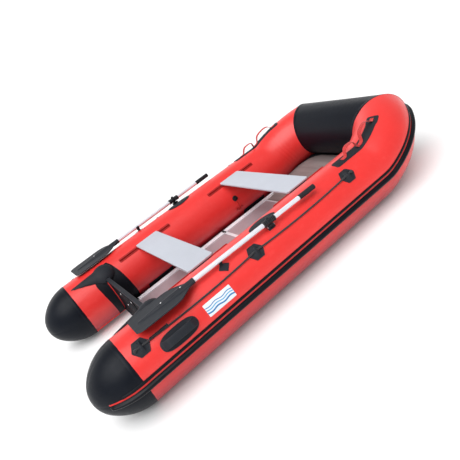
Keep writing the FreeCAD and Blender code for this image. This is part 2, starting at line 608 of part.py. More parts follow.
hook = ring_sector(KX, ky, OAR_Z, 17.5, 22.5, -205, -72, 24)
kphi = math.degrees(math.atan2(OAR_Z - R, ky - C0))
stem = sector(R + 2, R + 24, kphi - 1.6, kphi + 1.6).extrude(V(20, 0, 0))
stem = moved(stem, V(KX - 10, 0, 0)).cut(cyl(V(KX - 30, ky, OAR_Z), V(1, 0, 0), 18.5, 60))
kp = kp.fuse([hook, stem]).cut(cyl(V(KX - 300, C0, R), V(1, 0, 0), R + GAP, 600))
kp = biggest(kp)
N["oar_keepers"] = [kp, mir(kp)]

# ---- oars (drawn along X through the rowlock, then toed out) --------------------
U = lambda u, v=0.0, w_=0.0: V(LOCK_X + u, SHY + v, OAR_Z + w_)
hole = cyl(U(0, 0, -60), V(0, 0, 1), 5.06, 120)


def toe(s):
    return turned(s, U(0), V(0, 0, 1), OAR_YAW)


shaft = cyl(U(-705), V(1, 0, 0), SHAFT_R, 705 + 377).cut(cyl(U(-704), V(1, 0, 0), SHAFT_R - 1.5, 705 + 375))
shaft = shaft.cut(cyl(U(0, 0, -60), V(0, 0, 1), 5.06, 120))
rv1, rv2 = -655.0, -790.0
shaft = biggest(shaft.cut(cyl(U(rv1, 0, -60), V(0, 0, 1), 2.6, 120)))
collar = cyl(U(-45), V(1, 0, 0), 18.6, 90).fuse(cyl(U(0, 0, 0), V(0, 0, 1), 12.5, 20.0))
collar = collar.fuse([cyl(U(-45), V(1, 0, 0), 20.0, 8), cyl(U(37), V(1, 0, 0), 20.0, 8)])
collar = collar.cut(cyl(U(-46), V(1, 0, 0), SHAFT_R + GAP, 92)).cut(cyl(U(0, 0, -60), V(0, 0, 1), 5.06, 120))
collar = collar.cut(box(LOCK_X - 80, LOCK_X + 80, SHY - 40, SHY + 40, OAR_Z - 40, HP_.z + 11.6 + 0.5))
collar = biggest(collar)
grip = cyl(U(252), V(1, 0, 0), 16.8, 129).cut(cyl(U(251), V(1, 0, 0), SHAFT_R + GAP, 126.6))
grip = biggest(grip)
# blade: rounded rectangle running into a narrow neck, centre ridge over the shaft end
bl = [(-990, 78), (-978, 92), (-962, 99), (-930, 102), (-735, 102), (-690, 90), (-650, 62), (-618, 36), (-590, 22), (-575, 19)]
ob = [U(a, b, -3) for a, b in bl] + [U(a, -b, -3) for a, b in reversed(bl)]
bp = Part.Face(Part.makePolygon(ob + [ob[0]])).extrude(V(0, 0, 6))
ridge = fuse([cyl(U(-735), V(1, 0, 0), 18.0, 165), Part.makeCone(6.0, 18.0, 215, U(-950), V(1, 0, 0))])
blade = bp.fuse(ridge).cut(cyl(U(-706), V(1, 0, 0), SHAFT_R + GAP, 200))
blade = blade.cut([cyl(U(rv1, 0, -60), V(0, 0, 1), 2.6, 120), cyl(U(rv2, 0, -60), V(0, 0, 1), 2.6, 120)])
blade = biggest(blade)
riv = []
for u, rr in ((rv1, 18.0), (rv2, 6.0 + 12.0 * (950 - 790) / 215.0)):
    s = cyl(U(u, 0, -rr - 1.2), V(0, 0, 1), 2.5, 2 * rr + 2.4)
    s = s.fuse([cyl(U(u, 0, rr + 0.3), V(0, 0, 1), 5.5, 2.2), cyl(U(u, 0, -rr - 2.5), V(0, 0, 1), 5.5, 2.2)])
    riv.append(biggest(s))
for nm, lst in (("oar_shaft", [shaft]), ("oar_collar", [collar]), ("oar_grip", [grip]), ("oar_blade", [blade]), ("oar_rivets", riv)):
    N["port_" + nm] = [toe(s) for s in lst]
    N["starboard_" + nm] = [mir(toe(s)) for s in lst]

# ---- shift to the base centre and export ---------------------------------------
hull = Part.makeCompound(N["port_side_tube"] + N["bow_tube"] + N["port_stern_cone"] + N["rub_rails"])
bbx = hull.optimalBoundingBox()
CX = (bbx.XMin + bbx.XMax) / 2.0
SHIFT = V(-CX, 0, 0)
os.makedirs("parts", exist_ok=True)
print("CX %.3f  x %.2f..%.2f  nodes %d" % (CX, bbx.XMin, bbx.XMax, len(N)))
for name in sorted(N):
    lst = N[name]
    for s in lst:
        if not s.isValid() or s.ShapeType != "Solid":
            print("CHECK", name, s.ShapeType, s.isValid())
    shape = lst[0].copy() if len(lst) == 1 else Part.makeCompound([s.copy() for s in lst])
    shape.translate(SHIFT)
    shape.exportStep("parts/%s.step" % name)
    b = shape.BoundBox
    print("%-26s n=%d vol %.1f cm3  [%.0f %.0f %.0f] [%.0f %.0f %.0f]" % (name, len(lst), sum(s.Volume for s in lst) / 1000.0, b.XMin, b.YMin, b.ZMin, b.XMax, b.YMax, b.ZMax))
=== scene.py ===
import bpy
import bmesh
import json
import math
import numpy as np
from mathutils import Vector, Matrix


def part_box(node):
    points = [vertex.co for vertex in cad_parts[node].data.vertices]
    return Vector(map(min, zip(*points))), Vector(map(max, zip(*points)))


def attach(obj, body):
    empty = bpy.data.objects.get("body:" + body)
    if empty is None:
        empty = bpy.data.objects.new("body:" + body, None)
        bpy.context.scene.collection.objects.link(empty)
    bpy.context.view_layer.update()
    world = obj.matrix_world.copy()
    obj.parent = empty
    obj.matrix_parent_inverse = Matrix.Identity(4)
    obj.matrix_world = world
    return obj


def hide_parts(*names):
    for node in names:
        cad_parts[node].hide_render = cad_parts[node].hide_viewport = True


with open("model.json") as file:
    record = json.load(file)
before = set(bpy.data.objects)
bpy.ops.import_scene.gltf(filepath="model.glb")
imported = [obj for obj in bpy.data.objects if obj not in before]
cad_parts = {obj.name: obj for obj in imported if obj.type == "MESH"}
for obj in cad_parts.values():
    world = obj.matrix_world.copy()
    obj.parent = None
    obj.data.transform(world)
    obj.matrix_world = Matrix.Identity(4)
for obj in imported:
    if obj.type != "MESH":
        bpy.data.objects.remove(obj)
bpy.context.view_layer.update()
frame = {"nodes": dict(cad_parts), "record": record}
NODES = frame["nodes"]
SC = bpy.context.scene
SC.view_settings.view_transform = "Standard"
SC.view_settings.look = "None"

# ------------------------------------------------------------------ dimensions (metres)
CX = 1.201574
R, C0 = 0.215, 0.588
X_RISE, RISE, R_RISE = 1.960, math.radians(16.65), 0.350
TURN, R_TURN = math.radians(48.2), 0.534
CR1, CA1 = 0.300, math.radians(50.0)
CR2 = ((R - CR1) + CR1 * math.cos(CA1)) / math.cos(CA1)
C2X = -CR1 * math.sin(CA1) + CR2 * math.sin(CA1)
S_RISE = X_RISE + R_RISE * RISE
S_TURN = S_RISE + R_TURN * TURN
T2 = np.array([math.cos(RISE), 0, math.sin(RISE)])
UPB = np.array([-math.sin(RISE), 0, math.cos(RISE)])
E2 = np.array([X_RISE + R_RISE * math.sin(RISE), C0, R + R_RISE * (1 - math.cos(RISE))])
YH = np.array([0.0, 1.0, 0.0])
E3 = E2 + T2 * (R_TURN * math.sin(TURN)) - YH * (R_TURN * (1 - math.cos(TURN)))
T3 = T2 * math.cos(TURN) - YH * math.sin(TURN)
OUT3 = YH * math.cos(TURN) + T2 * math.sin(TURN)
MN = T3 - YH
MN = MN / np.linalg.norm(MN)
S_CONE = -(CR1 * CA1 + CR2 * (math.pi / 2 - CA1))
RAD = math.radians


def tp(s, phi, r, side=1):
    """Point on (or off) the side tube: distance along its axis, section angle in radians
    (0 outboard, 90 deg top), distance from the axis. side 1 port, -1 starboard."""
    s, phi, r = np.broadcast_arrays(np.asarray(s, float), np.asarray(phi, float), np.asarray(r, float))
    c, sn = np.cos(phi), np.sin(phi)
    P = np.zeros(s.shape + (3,))
    x, rad = s.copy(), r.copy()
    m1 = s < 0
    a = np.clip(-s / CR1, 0, None)
    rr = r - R
    x = np.where(m1, -(CR1 + rr) * np.sin(a), x)
    rad = np.where(m1, (R - CR1) + (CR1 + rr) * np.cos(a), rad)
    m2 = m1 & (a > CA1)
    a2 = np.clip(CA1 + (-s - CR1 * CA1) / CR2, 0, math.pi / 2)
    x = np.where(m2, C2X - (CR2 + rr) * np.sin(a2), x)
    rad = np.where(m2, (CR2 + rr) * np.cos(a2), rad)
    P[..., 0] = x
    P[..., 1] = C0 + rad * c
    P[..., 2] = R + rad * sn
    m3 = s > X_RISE
    if m3.any():
        al = np.clip((s - X_RISE) / R_RISE, 0, RISE)
        up = np.stack([-np.sin(al), 0 * al, np.cos(al)], -1)
        cen = np.stack([X_RISE + R_RISE * np.sin(al), C0 + 0 * al, R + R_RISE * (1 - np.cos(al))], -1)
        be = np.clip((s - S_RISE) / R_TURN, 0, TURN)
        cen = np.where((s > S_RISE)[..., None], E2 + T2 * (R_TURN * np.sin(be))[..., None] - YH * (R_TURN * (1 - np.cos(be)))[..., None], cen)
        out = YH * np.cos(be)[..., None] + T2 * np.sin(be)[..., None]
        tan = T2 * np.cos(be)[..., None] - YH * np.sin(be)[..., None]
        cen = cen + tan * np.clip(s - S_TURN, 0, None)[..., None]
        Q = cen + r[..., None] * (c[..., None] * out + sn[..., None] * up)
        P = np.where(m3[..., None], Q, P)
    P = P.copy()
    P[..., 0] -= CX
    P[..., 1] *= side
    return P


def mitre(phi, r, side=1):
    """Ring of the mitre between the side tube and the bow tube."""
    phi, r = np.broadcast_arrays(np.asarray(phi, float), np.asarray(r, float))
    d = r[..., None] * (np.cos(phi)[..., None] * OUT3 + np.sin(phi)[..., None] * UPB)
    tau = -(d @ MN) / (T3 @ MN)
    P = E3 + d + tau[..., None] * T3
    P = P.copy()
    P[..., 0] -= CX
    P[..., 1] *= side
    return P


# ------------------------------------------------------------------ mesh helpers
def link(name, me):
    o = bpy.data.objects.new(name, me)
    SC.collection.objects.link(o)
    return o


def mesh(name, verts, faces):
    me = bpy.data.meshes.new(name)
    me.from_pydata([tuple(v) for v in verts], [], faces)
    me.validate()
    me.update()
    return me


def fix_normals(me):
    bm = bmesh.new()
    bm.from_mesh(me)
    bmesh.ops.recalc_face_normals(bm, faces=bm.faces)
    bm.to_mesh(me)
    bm.free()


def smooth(me, deg=38.0):
    bm = bmesh.new()
    bm.from_mesh(me)
    lim = math.radians(deg)
    for f in bm.faces:
        f.smooth = True
    for e in bm.edges:
        e.smooth = not (len(e.link_faces) == 2 and e.calc_face_angle(0.0) > lim)
    bm.to_mesh(me)
    bm.free()


def grid_mesh(name, G, wrap=False, cap0=False, cap1=False, deg=38.0):
    """Mesh from an array of rings (rows x points x 3)."""
    n, m = G.shape[:2]
    V = G.reshape(-1, 3)
    F = []
    for i in range(n - 1):
        for j in range(m if wrap else m - 1):
            k = (j + 1) % m
            F.append((i * m + j, i * m + k, (i + 1) * m + k, (i + 1) * m + j))
    if cap0:
        F.append(tuple(range(m))[::-1])
    if cap1:
        F.append(tuple((n - 1) * m + j for j in range(m)))
    me = mesh(name, V, F)
    fix_normals(me)
    smooth(me, deg)
    return me


def bake(o):
    """Apply an object's modifiers to its mesh."""
    bpy.context.view_layer.update()
    dg = bpy.context.evaluated_depsgraph_get()
    me = bpy.data.meshes.new_from_object(o.evaluated_get(dg))
    o.modifiers.clear()
    o.data = me
    return o


BODY = {}
for b_, ns_ in frame["record"]["behaviour"]["bodies"].items():
    for n_ in ns_:
        BODY[n_] = b_
SLOT = {s_["node"]: s_["material_slot"] for s_ in frame["record"]["subparts"]}


def put(o, mat, node=None, body=None):
    """Give a finished piece its material and body, and hide the CAD nodes it stands for."""
    o.data.materials.clear()
    o.data.materials.append(mat)
    nodes = [node] if isinstance(node, str) else list(node or [])
    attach(o, body or BODY[nodes[0]])
    if nodes:
        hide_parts(*nodes)
    return o


def soft_copy(node, name, voxel, iters=6, factor=0.5, deg=60):
    """Moulded version of a CAD solid: same shape with rounded edges."""
    src = NODES[node]
    o = link(name, src.data.copy())
    o.data.materials.clear()
    m = o.modifiers.new("r", "REMESH")
    m.mode = "VOXEL"
    m.voxel_size = voxel
    m.adaptivity = 0.0
    s = o.modifiers.new("s", "SMOOTH")
    s.iterations = iters
    s.factor = factor
    bake(o)
    smooth(o.data, deg)
    return o


def strip_uv(me, uv):
    """uv: per-vertex coordinates in metres, for patterns that follow the piece."""
    l = me.uv_layers.new(name="run")
    idx = np.empty(len(me.loops), int)
    me.loops.foreach_get("vertex_index", idx)
    l.data.foreach_set("uv", np.asarray(uv, float)[idx].reshape(-1))


# ------------------------------------------------------------------ materials
def new_mat(name):
    m = bpy.data.materials.new(name)
    m.use_nodes = True
    nt = m.node_tree
    nt.nodes.clear()
    out = nt.nodes.new("ShaderNodeOutputMaterial")
    b = nt.nodes.new("ShaderNodeBsdfPrincipled")
    nt.links.new(b.outputs[0], out.inputs[0])
    return m, nt, b


def N_(nt, kind, **kw):
    n = nt.nodes.new(kind)
    for k, v in kw.items():
        if k.startswith("i_"):
            n.inputs[k[2:].replace("_", " ")].default_value = v
        else:
            setattr(n, k, v)
    return n


def ramp(nt, src, stops):
    r = nt.nodes.new("ShaderNodeValToRGB")
    e = r.color_ramp.elements
    while len(e) < len(stops):
        e.new(0.5)
    for q, (p, c) in zip(e, stops):
        q.position = p
        q.color = (*c, 1.0) if len(c) == 3 else c
    nt.links.new(src, r.inputs[0])
    return r.outputs[0]


def bump(nt, height, strength, dist, normal=None):
    b = nt.nodes.new("ShaderNodeBump")
    b.inputs["Strength"].default_value = strength
    b.inputs["Distance"].default_value = dist
    nt.links.new(height, b.inputs["Height"])
    if normal:
        nt.links.new(normal, b.inputs["Normal"])
    return b.outputs[0]


def tone(c, k):
    return tuple(max(0.0, min(1.0, x * k)) for x in c)


def coated(name, base, low=None, rough=0.42, spec=0.5, var=0.06, grain=2200.0, grain_b=0.25, wave_b=0.2, coat=0.0, sheen=0.0, edge=0.0, dust=None, weave=0.0):
    """Coated fabric, rubber or moulded plastic: tone drift, scuffs, fine grain, slow surface ripple; when low is given,
    a painted shade that darkens the colour towards the bottom of the piece.
    """
    m, nt, b = new_mat(name)
    tc = N_(nt, "ShaderNodeTexCoord")
    big = N_(nt, "ShaderNodeTexNoise", i_Scale=3.5, i_Detail=4.0, i_Roughness=0.55)
    nt.links.new(tc.outputs["Object"], big.inputs["Vector"])
    col = ramp(nt, big.outputs[0], [(0.30, tone(base, 1 - var)), (0.72, tone(base, 1 + var))])
    fine = N_(nt, "ShaderNodeTexNoise", i_Scale=grain, i_Detail=2.0)
    nt.links.new(tc.outputs["Object"], fine.inputs["Vector"])
    scuff = N_(nt, "ShaderNodeTexNoise", i_Scale=38.0, i_Detail=8.0, i_Roughness=0.7)
    nt.links.new(tc.outputs["Object"], scuff.inputs["Vector"])
    if dust:
        mx = N_(nt, "ShaderNodeMix", data_type="RGBA")
        f = ramp(nt, scuff.outputs[0], [(0.52, (0, 0, 0)), (0.78, (0.22, 0.22, 0.22))])
        nt.links.new(f, mx.inputs[0])
        nt.links.new(col, mx.inputs[6])
        mx.inputs[7].default_value = (*dust, 1)
        col = mx.outputs[2]
    if edge > 0:
        geo = N_(nt, "ShaderNodeNewGeometry")
        f = ramp(nt, geo.outputs["Pointiness"], [(0.50, (0, 0, 0)), (0.58, (edge, edge, edge))])
        mx = N_(nt, "ShaderNodeMix", data_type="RGBA")
        nt.links.new(f, mx.inputs[0])
        nt.links.new(col, mx.inputs[6])
        mx.inputs[7].default_value = (*tone(tuple(x + 0.05 for x in base), 1.8), 1)
        col = mx.outputs[2]
    # painted shade: the colour turns to low below about z 0.07 m and fades out by about z 0.225 m, darkening the lower
    # part of the piece where it sits in shadow
    if low:
        sz_ = N_(nt, "ShaderNodeSeparateXYZ")
        nt.links.new(tc.outputs["Object"], sz_.inputs[0])
        ad = N_(nt, "ShaderNodeMath", operation="MULTIPLY_ADD")
        ad.inputs[1].default_value = 0.05
        nt.links.new(big.outputs[0], ad.inputs[0])
        nt.links.new(sz_.outputs[2], ad.inputs[2])
        f = ramp(nt, ad.outputs[0], [(0.07, (1, 1, 1)), (0.225, (0, 0, 0))])
        mx = N_(nt, "ShaderNodeMix", data_type="RGBA")
        nt.links.new(f, mx.inputs[0])
        nt.links.new(col, mx.inputs[6])
        mx.inputs[7].default_value = (*low, 1)
        col = mx.outputs[2]
    nt.links.new(col, b.inputs["Base Color"])
    rg = ramp(nt, scuff.outputs[0], [(0.30, (rough - 0.05,) * 3), (0.75, (rough + 0.09,) * 3)])
    nt.links.new(rg, b.inputs["Roughness"])
    b.inputs["Specular IOR Level"].default_value = spec
    b.inputs["Coat Weight"].default_value = coat
    b.inputs["Coat Roughness"].default_value = 0.25
    b.inputs["Sheen Weight"].default_value = sheen
    b.inputs["Sheen Roughness"].default_value = 0.45
    slow = N_(nt, "ShaderNodeTexNoise", i_Scale=9.0, i_Detail=3.0)
    nt.links.new(tc.outputs["Object"], slow.inputs["Vector"])
    n1 = bump(nt, slow.outputs[0], wave_b, 0.004)
    n2 = bump(nt, fine.outputs[0], grain_b, 0.0004, n1)
    if weave > 0:
        sx = N_(nt, "ShaderNodeTexWave", wave_type="BANDS", bands_direction="X", i_Scale=420.0, i_Distortion=0.4)
        sz = N_(nt, "ShaderNodeTexWave", wave_type="BANDS", bands_direction="Z", i_Scale=420.0, i_Distortion=0.4)
        for w_ in (sx, sz):
            nt.links.new(tc.outputs["Object"], w_.inputs["Vector"])
        mm = N_(nt, "ShaderNodeMath", operation="MAXIMUM")
        nt.links.new(sx.outputs["Fac"], mm.inputs[0])
        nt.links.new(sz.outputs["Fac"], mm.inputs[1])
        n2 = bump(nt, mm.outputs[0], weave, 0.0003, n2)
    nt.links.new(n2, b.inputs["Normal"])
    return m


def metal(name, base, rough=0.32, axis="X", brush=0.25, var=0.05, aniso=0.0, metallic=1.0, rib=None):
    """Anodised or brushed metal with drawn lines along one axis."""
    m, nt, b = new_mat(name)
    tc = N_(nt, "ShaderNodeTexCoord")
    mp = N_(nt, "ShaderNodeMapping")
    sc = {"X": (6, 260, 260), "Y": (260, 6, 260), "Z": (260, 260, 6)}[axis]
    mp.inputs["Scale"].default_value = sc
    nt.links.new(tc.outputs["Object"], mp.inputs["Vector"])
    br = N_(nt, "ShaderNodeTexNoise", i_Scale=1.0, i_Detail=4.0)
    nt.links.new(mp.outputs[0], br.inputs["Vector"])
    big = N_(nt, "ShaderNodeTexNoise", i_Scale=7.0, i_Detail=5.0, i_Roughness=0.6)
    nt.links.new(tc.outputs["Object"], big.inputs["Vector"])
    col = ramp(nt, big.outputs[0], [(0.3, tone(base, 1 - var)), (0.7, tone(base, 1 + var))])
    nt.links.new(col, b.inputs["Base Color"])
    rg = ramp(nt, br.outputs[0], [(0.3, (rough - 0.07,) * 3), (0.7, (rough + 0.10,) * 3)])
    nt.links.new(rg, b.inputs["Roughness"])
    b.inputs["Metallic"].default_value = metallic
    nrm = bump(nt, br.outputs[0], brush, 0.0003)
    if rib:
        w_ = N_(nt, "ShaderNodeTexWave", wave_type="BANDS", bands_direction=rib[0], wave_profile="TRI", i_Scale=rib[1])
        nt.links.new(tc.outputs["Object"], w_.inputs["Vector"])
        nrm = bump(nt, w_.outputs["Fac"], rib[2], 0.0015, nrm)
    nt.links.new(nrm, b.inputs["Normal"])
    return m


def wood_paint(name, base, rough, grain=0.35, axis="Y", spec=0.4):
    """Sealed or painted plywood: faint long grain under the film."""
    m, nt, b = new_mat(name)
    tc = N_(nt, "ShaderNodeTexCoord")
    mp = N_(nt, "ShaderNodeMapping")
    mp.inputs["Scale"].default_value = (14, 1.5, 40) if axis == "Y" else (1.5, 14, 40)
    nt.links.new(tc.outputs["Object"], mp.inputs["Vector"])
    g = N_(nt, "ShaderNodeTexNoise", i_Scale=3.0, i_Detail=8.0, i_Roughness=0.65, i_Distortion=0.6)
    nt.links.new(mp.outputs[0], g.inputs["Vector"])
    col = ramp(nt, g.outputs[0], [(0.35, tone(base, 0.85)), (0.7, tone(base, 1.2))])
    nt.links.new(col, b.inputs["Base Color"])
    rg = ramp(nt, g.outputs[0], [(0.3, (rough - 0.05,) * 3), (0.7, (rough + 0.1,) * 3)])
    nt.links.new(rg, b.inputs["Roughness"])
    b.inputs["Specular IOR Level"].default_value = spec
    n = bump(nt, g.outputs[0], grain, 0.0006)
    nt.links.new(n, b.inputs["Normal"])
    return m


def webbing(name, base, dark):
    """Woven strap with edge stitching; the run coordinates are metres along and across."""
    m, nt, b = new_mat(name)
    uv = N_(nt, "ShaderNodeUVMap", uv_map="run")
    sep = N_(nt, "ShaderNodeSeparateXYZ")
    nt.links.new(uv.outputs[0], sep.inputs[0])
    wa = N_(nt, "ShaderNodeTexWave", wave_type="BANDS", bands_direction="DIAGONAL", i_Scale=110.0, i_Distortion=0.3)
    wb = N_(nt, "ShaderNodeTexWave", wave_type="BANDS", bands_direction="X", i_Scale=160.0)
    for w_ in (wa, wb):
        nt.links.new(uv.outputs[0], w_.inputs["Vector"])
    mm = N_(nt, "ShaderNodeMath", operation="MULTIPLY")
    nt.links.new(wa.outputs["Fac"], mm.inputs[0])
    nt.links.new(wb.outputs["Fac"], mm.inputs[1])
    col = ramp(nt, mm.outputs[0], [(0.0, dark), (0.7, base)])
    nt.links.new(col, b.inputs["Base Color"])
    b.inputs["Roughness"].default_value = 0.72
    b.inputs["Sheen Weight"].default_value = 0.25
    n = bump(nt, mm.outputs[0], 0.6, 0.0008)
    nt.links.new(n, b.inputs["Normal"])
    return m


def rope_mat(name, base, hi):
    m, nt, b = new_mat(name)
    uv = N_(nt, "ShaderNodeUVMap", uv_map="run")
    mp = N_(nt, "ShaderNodeMapping")
    mp.inputs["Scale"].default_value = (1.0, 1.0, 1.0)
    nt.links.new(uv.outputs[0], mp.inputs["Vector"])
    wa = N_(nt, "ShaderNodeTexWave", wave_type="BANDS", bands_direction="DIAGONAL", i_Scale=70.0, i_Distortion=0.2)
    nt.links.new(mp.outputs[0], wa.inputs["Vector"])
    mp2 = N_(nt, "ShaderNodeMapping")
    mp2.inputs["Scale"].default_value = (-1.0, 1.0, 1.0)
    nt.links.new(uv.outputs[0], mp2.inputs["Vector"])
    wb = N_(nt, "ShaderNodeTexWave", wave_type="BANDS", bands_direction="DIAGONAL", i_Scale=70.0, i_Distortion=0.2)
    nt.links.new(mp2.outputs[0], wb.inputs["Vector"])
    mm = N_(nt, "ShaderNodeMath", operation="MAXIMUM")
    nt.links.new(wa.outputs["Fac"], mm.inputs[0])
    nt.links.new(wb.outputs["Fac"], mm.inputs[1])
    col = ramp(nt, mm.outputs[0], [(0.2, base), (1.0, hi)])
    nt.links.new(col, b.inputs["Base Color"])
    b.inputs["Roughness"].default_value = 0.6
    b.inputs["Sheen Weight"].default_value = 0.2
    n = bump(nt, mm.outputs[0], 0.7, 0.001)
    nt.links.new(n, b.inputs["Normal"])
    return m


RED = (0.82, 0.030, 0.026)
# red tube fabric; low is a painted shade, a dark purplish red on the lower part of the tubes
M_RED = coated("red_fabric", RED, low=(0.30, 0.009, 0.026), rough=0.40, spec=0.55, var=0.04, grain=1500.0, grain_b=0.18, wave_b=0.10, weave=0.10, coat=0.14, dust=(0.86, 0.10, 0.09))
M_REDT = coated("red_tape", tone(RED, 0.93), rough=0.44, spec=0.4, var=0.05, grain=1500.0, grain_b=0.2, wave_b=0.08, weave=0.12)
M_BLK = coated("black_fabric", (0.0040, 0.0058, 0.0105), rough=0.40, spec=0.15, var=0.16, grain=1500.0, grain_b=0.2, wave_b=0.12, weave=0.12, dust=(0.011, 0.014, 0.021))
M_UNDER = coated("bottom_fabric", (0.022, 0.024, 0.030), rough=0.5, spec=0.3, var=0.18, grain=1200.0, grain_b=0.25, wave_b=0.2, weave=0.15, dust=(0.07, 0.068, 0.066))
M_INNER = coated("inner_fabric", (0.25, 0.25, 0.26), rough=0.6, weave=0.2)
M_STRAKE = coated("strake_rubber", (0.0026, 0.0036, 0.0068), rough=0.34, spec=0.22, var=0.2, grain=900.0, grain_b=0.15, wave_b=0.08, dust=(0.010, 0.012, 0.017))
M_PATCH = coated("patch_rubber", (0.017, 0.0195, 0.0255), rough=0.58, spec=0.20, var=0.12, grain=700.0, grain_b=0.55, wave_b=0.12, edge=0.16, dust=(0.048, 0.052, 0.062))
M_FLANGE = coated("flange_fabric", (0.0055, 0.0068, 0.0105), rough=0.50, spec=0.16, var=0.15, grain=1100.0, grain_b=0.35, wave_b=0.18, weave=0.12, dust=(0.014, 0.016, 0.022))
# seat rail tape: the red fabric at about half brightness, painted shade standing in for the shadow along the rails'
# standing edge; the valve leash and tags reuse this dark red
M_RAILT = coated("seat_rail_tape", tone(RED, 0.52), rough=0.5, spec=0.3, var=0.06, grain=1500.0, grain_b=0.2, wave_b=0.08, weave=0.12)
M_WEB = webbing("red_webbing", (0.80, 0.05, 0.045), (0.42, 0.012, 0.012))
M_ROPE = rope_mat("black_rope", (0.004, 0.004, 0.006), (0.030, 0.031, 0.036))
M_SLEEVE = coated("rope_sleeve", (0.012, 0.013, 0.016), rough=0.45, spec=0.3, var=0.15)
M_TRANSOM = wood_paint("transom_paint", (0.0060, 0.0070, 0.0100), 0.62, spec=0.08)
M_BOWB = wood_paint("bow_board", (0.235, 0.19, 0.185), 0.5, grain=0.25)
M_PAD = coated("pad_plastic", (0.007, 0.008, 0.011), rough=0.75, spec=0.04, grain=900.0, grain_b=0.5, edge=0.2)
M_FLOOR = metal("floor_aluminium", (0.56, 0.49, 0.525), rough=0.50, axis="X", brush=0.2, metallic=0.6)
M_PROF = metal("profile_aluminium", (0.88, 0.87, 0.91), rough=0.42, axis="X", brush=0.05, metallic=0.15)
M_SEAT = metal("seat_aluminium", (0.545, 0.57, 0.635), rough=0.52, axis="Y", brush=0.10, metallic=0.15, var=0.025)
M_CLIP = coated("clip_plastic", (0.014, 0.015, 0.018), rough=0.5, spec=0.3)
M_VALVE = coated("valve_plastic", (0.008, 0.008, 0.010), rough=0.42, spec=0.3, edge=0.3)
M_STEEL = metal("steel", (0.70, 0.70, 0.72), rough=0.25, axis="Y", brush=0.1)
M_LOCK = coated("lock_plastic", (0.008, 0.009, 0.012), rough=0.42, spec=0.32, edge=0.3, grain=1100.0, grain_b=0.4)
M_OAR = metal("oar_aluminium", (0.86, 0.865, 0.92), rough=0.34, axis="X", brush=0.03, metallic=0.30, var=0.02)
M_BLADE = coated("blade_plastic", (0.019, 0.0215, 0.028), rough=0.50, spec=0.26, var=0.14, grain=800.0, grain_b=0.35, wave_b=0.18, edge=0.22, dust=(0.055, 0.060, 0.072))
M_GRIP = coated("grip_rubber", (0.016, 0.017, 0.021), rough=0.62, spec=0.26, grain=700.0, grain_b=0.6)

SLOT_MAT = {"red_fabric": M_RED, "black_fabric": M_BLK, "inner_fabric": M_INNER, "strake_rubber": M_STRAKE, "patch_rubber": M_PATCH, "red_webbing": M_WEB,
            "seat_rail_fabric": M_RAILT, "black_rope": M_ROPE, "rope_sleeve": M_SLEEVE, "transom_ply": M_TRANSOM, "bow_ply": M_BOWB, "pad_plastic": M_PAD,
            "floor_aluminium": M_FLOOR, "profile_aluminium": M_PROF, "seat_aluminium": M_SEAT, "clip_plastic": M_CLIP, "valve_plastic": M_VALVE, "steel": M_STEEL,
            "lock_plastic": M_LOCK, "oar_aluminium": M_OAR, "blade_plastic": M_BLADE, "grip_rubber": M_GRIP}


def label_mat():
    """Plain white panel with three soft blue bands; no lettering."""
    m, nt, b = new_mat("label_film")
    uv = N_(nt, "ShaderNodeUVMap", uv_map="run")
    sep = N_(nt, "ShaderNodeSeparateXYZ")
    nt.links.new(uv.outputs[0], sep.inputs[0])
    sn = N_(nt, "ShaderNodeMath", operation="SINE")
    k = N_(nt, "ShaderNodeMath", operation="MULTIPLY")
    k.inputs[1].default_value = 70.0
    nt.links.new(sep.outputs[0], k.inputs[0])
    nt.links.new(k.outputs[0], sn.inputs[0])
    am = N_(nt, "ShaderNodeMath", operation="MULTIPLY_ADD")
    am.inputs[1].default_value = 0.0035
    nt.links.new(sn.outputs[0], am.inputs[0])
    nt.links.new(sep.outputs[1], am.inputs[2])
    fr = N_(nt, "ShaderNodeMath", operation="MULTIPLY_ADD")
    fr.inputs[1].default_value = 13.2
    fr.inputs[2].default_value = 0.5
    nt.links.new(am.outputs[0], fr.inputs[0])
    W, B1, B2 = (0.80, 0.84, 0.88), (0.02, 0.20, 0.48), (0.10, 0.42, 0.70)
    r = ramp(nt, fr.outputs[0], [(0.0, W), (0.22, W), (0.225, B1), (0.33, B1), (0.335, W), (0.45, W), (0.455, B2), (0.53, B2), (0.535, W), (0.655, W), (0.66, B1), (0.72, B1), (0.725, W)])
    nt.links.new(r, b.inputs["Base Color"])
    tc = N_(nt, "ShaderNodeTexCoord")
    g = N_(nt, "ShaderNodeTexNoise", i_Scale=60.0, i_Detail=6.0)
    nt.links.new(tc.outputs["Object"], g.inputs["Vector"])
    rg = ramp(nt, g.outputs[0], [(0.3, (0.30,) * 3), (0.7, (0.44,) * 3)])
    nt.links.new(rg, b.inputs["Roughness"])
    nt.links.new(bump(nt, g.outputs[0], 0.1, 0.0008), b.inputs["Normal"])
    return m


M_LABEL = label_mat()
SLOT_MAT["label_film"] = M_LABEL

# carried-over CAD nodes first get the material of their slot
for nm, o in NODES.items():
    if o.type == "MESH":
        o.data.materials.clear()
        o.data.materials.append(SLOT_MAT[SLOT[nm]])

# ------------------------------------------------------------------ camera
CAM_P = Vector((-0.0725199 - CX, -3.02048371, 1.67290561))
RIGHT = Vector((0.73703425, -0.50827094, -0.44546736))
DOWN = Vector((-0.58317628, -0.14513934, -0.79927467))
FWD = Vector((0.34159325, 0.84887881, -0.40338422))
cam_d = bpy.data.cameras.new("camera")
cam = bpy.data.objects.new("camera", cam_d)
SC.collection.objects.link(cam)
rot = Matrix((RIGHT, -DOWN, -FWD)).transposed()
cam.matrix_world = Matrix.Translation(CAM_P) @ rot.to_4x4()
cam_d.sensor_width = 36.0
cam_d.lens = 486.55 / 460.0 * 36.0
cam_d.clip_end = 60.0
SC.camera = cam

# ------------------------------------------------------------------ hull: tubes
rng = np.random.default_rng(7)
PH = np.linspace(0, 2 * math.pi, 120, endpoint=False)


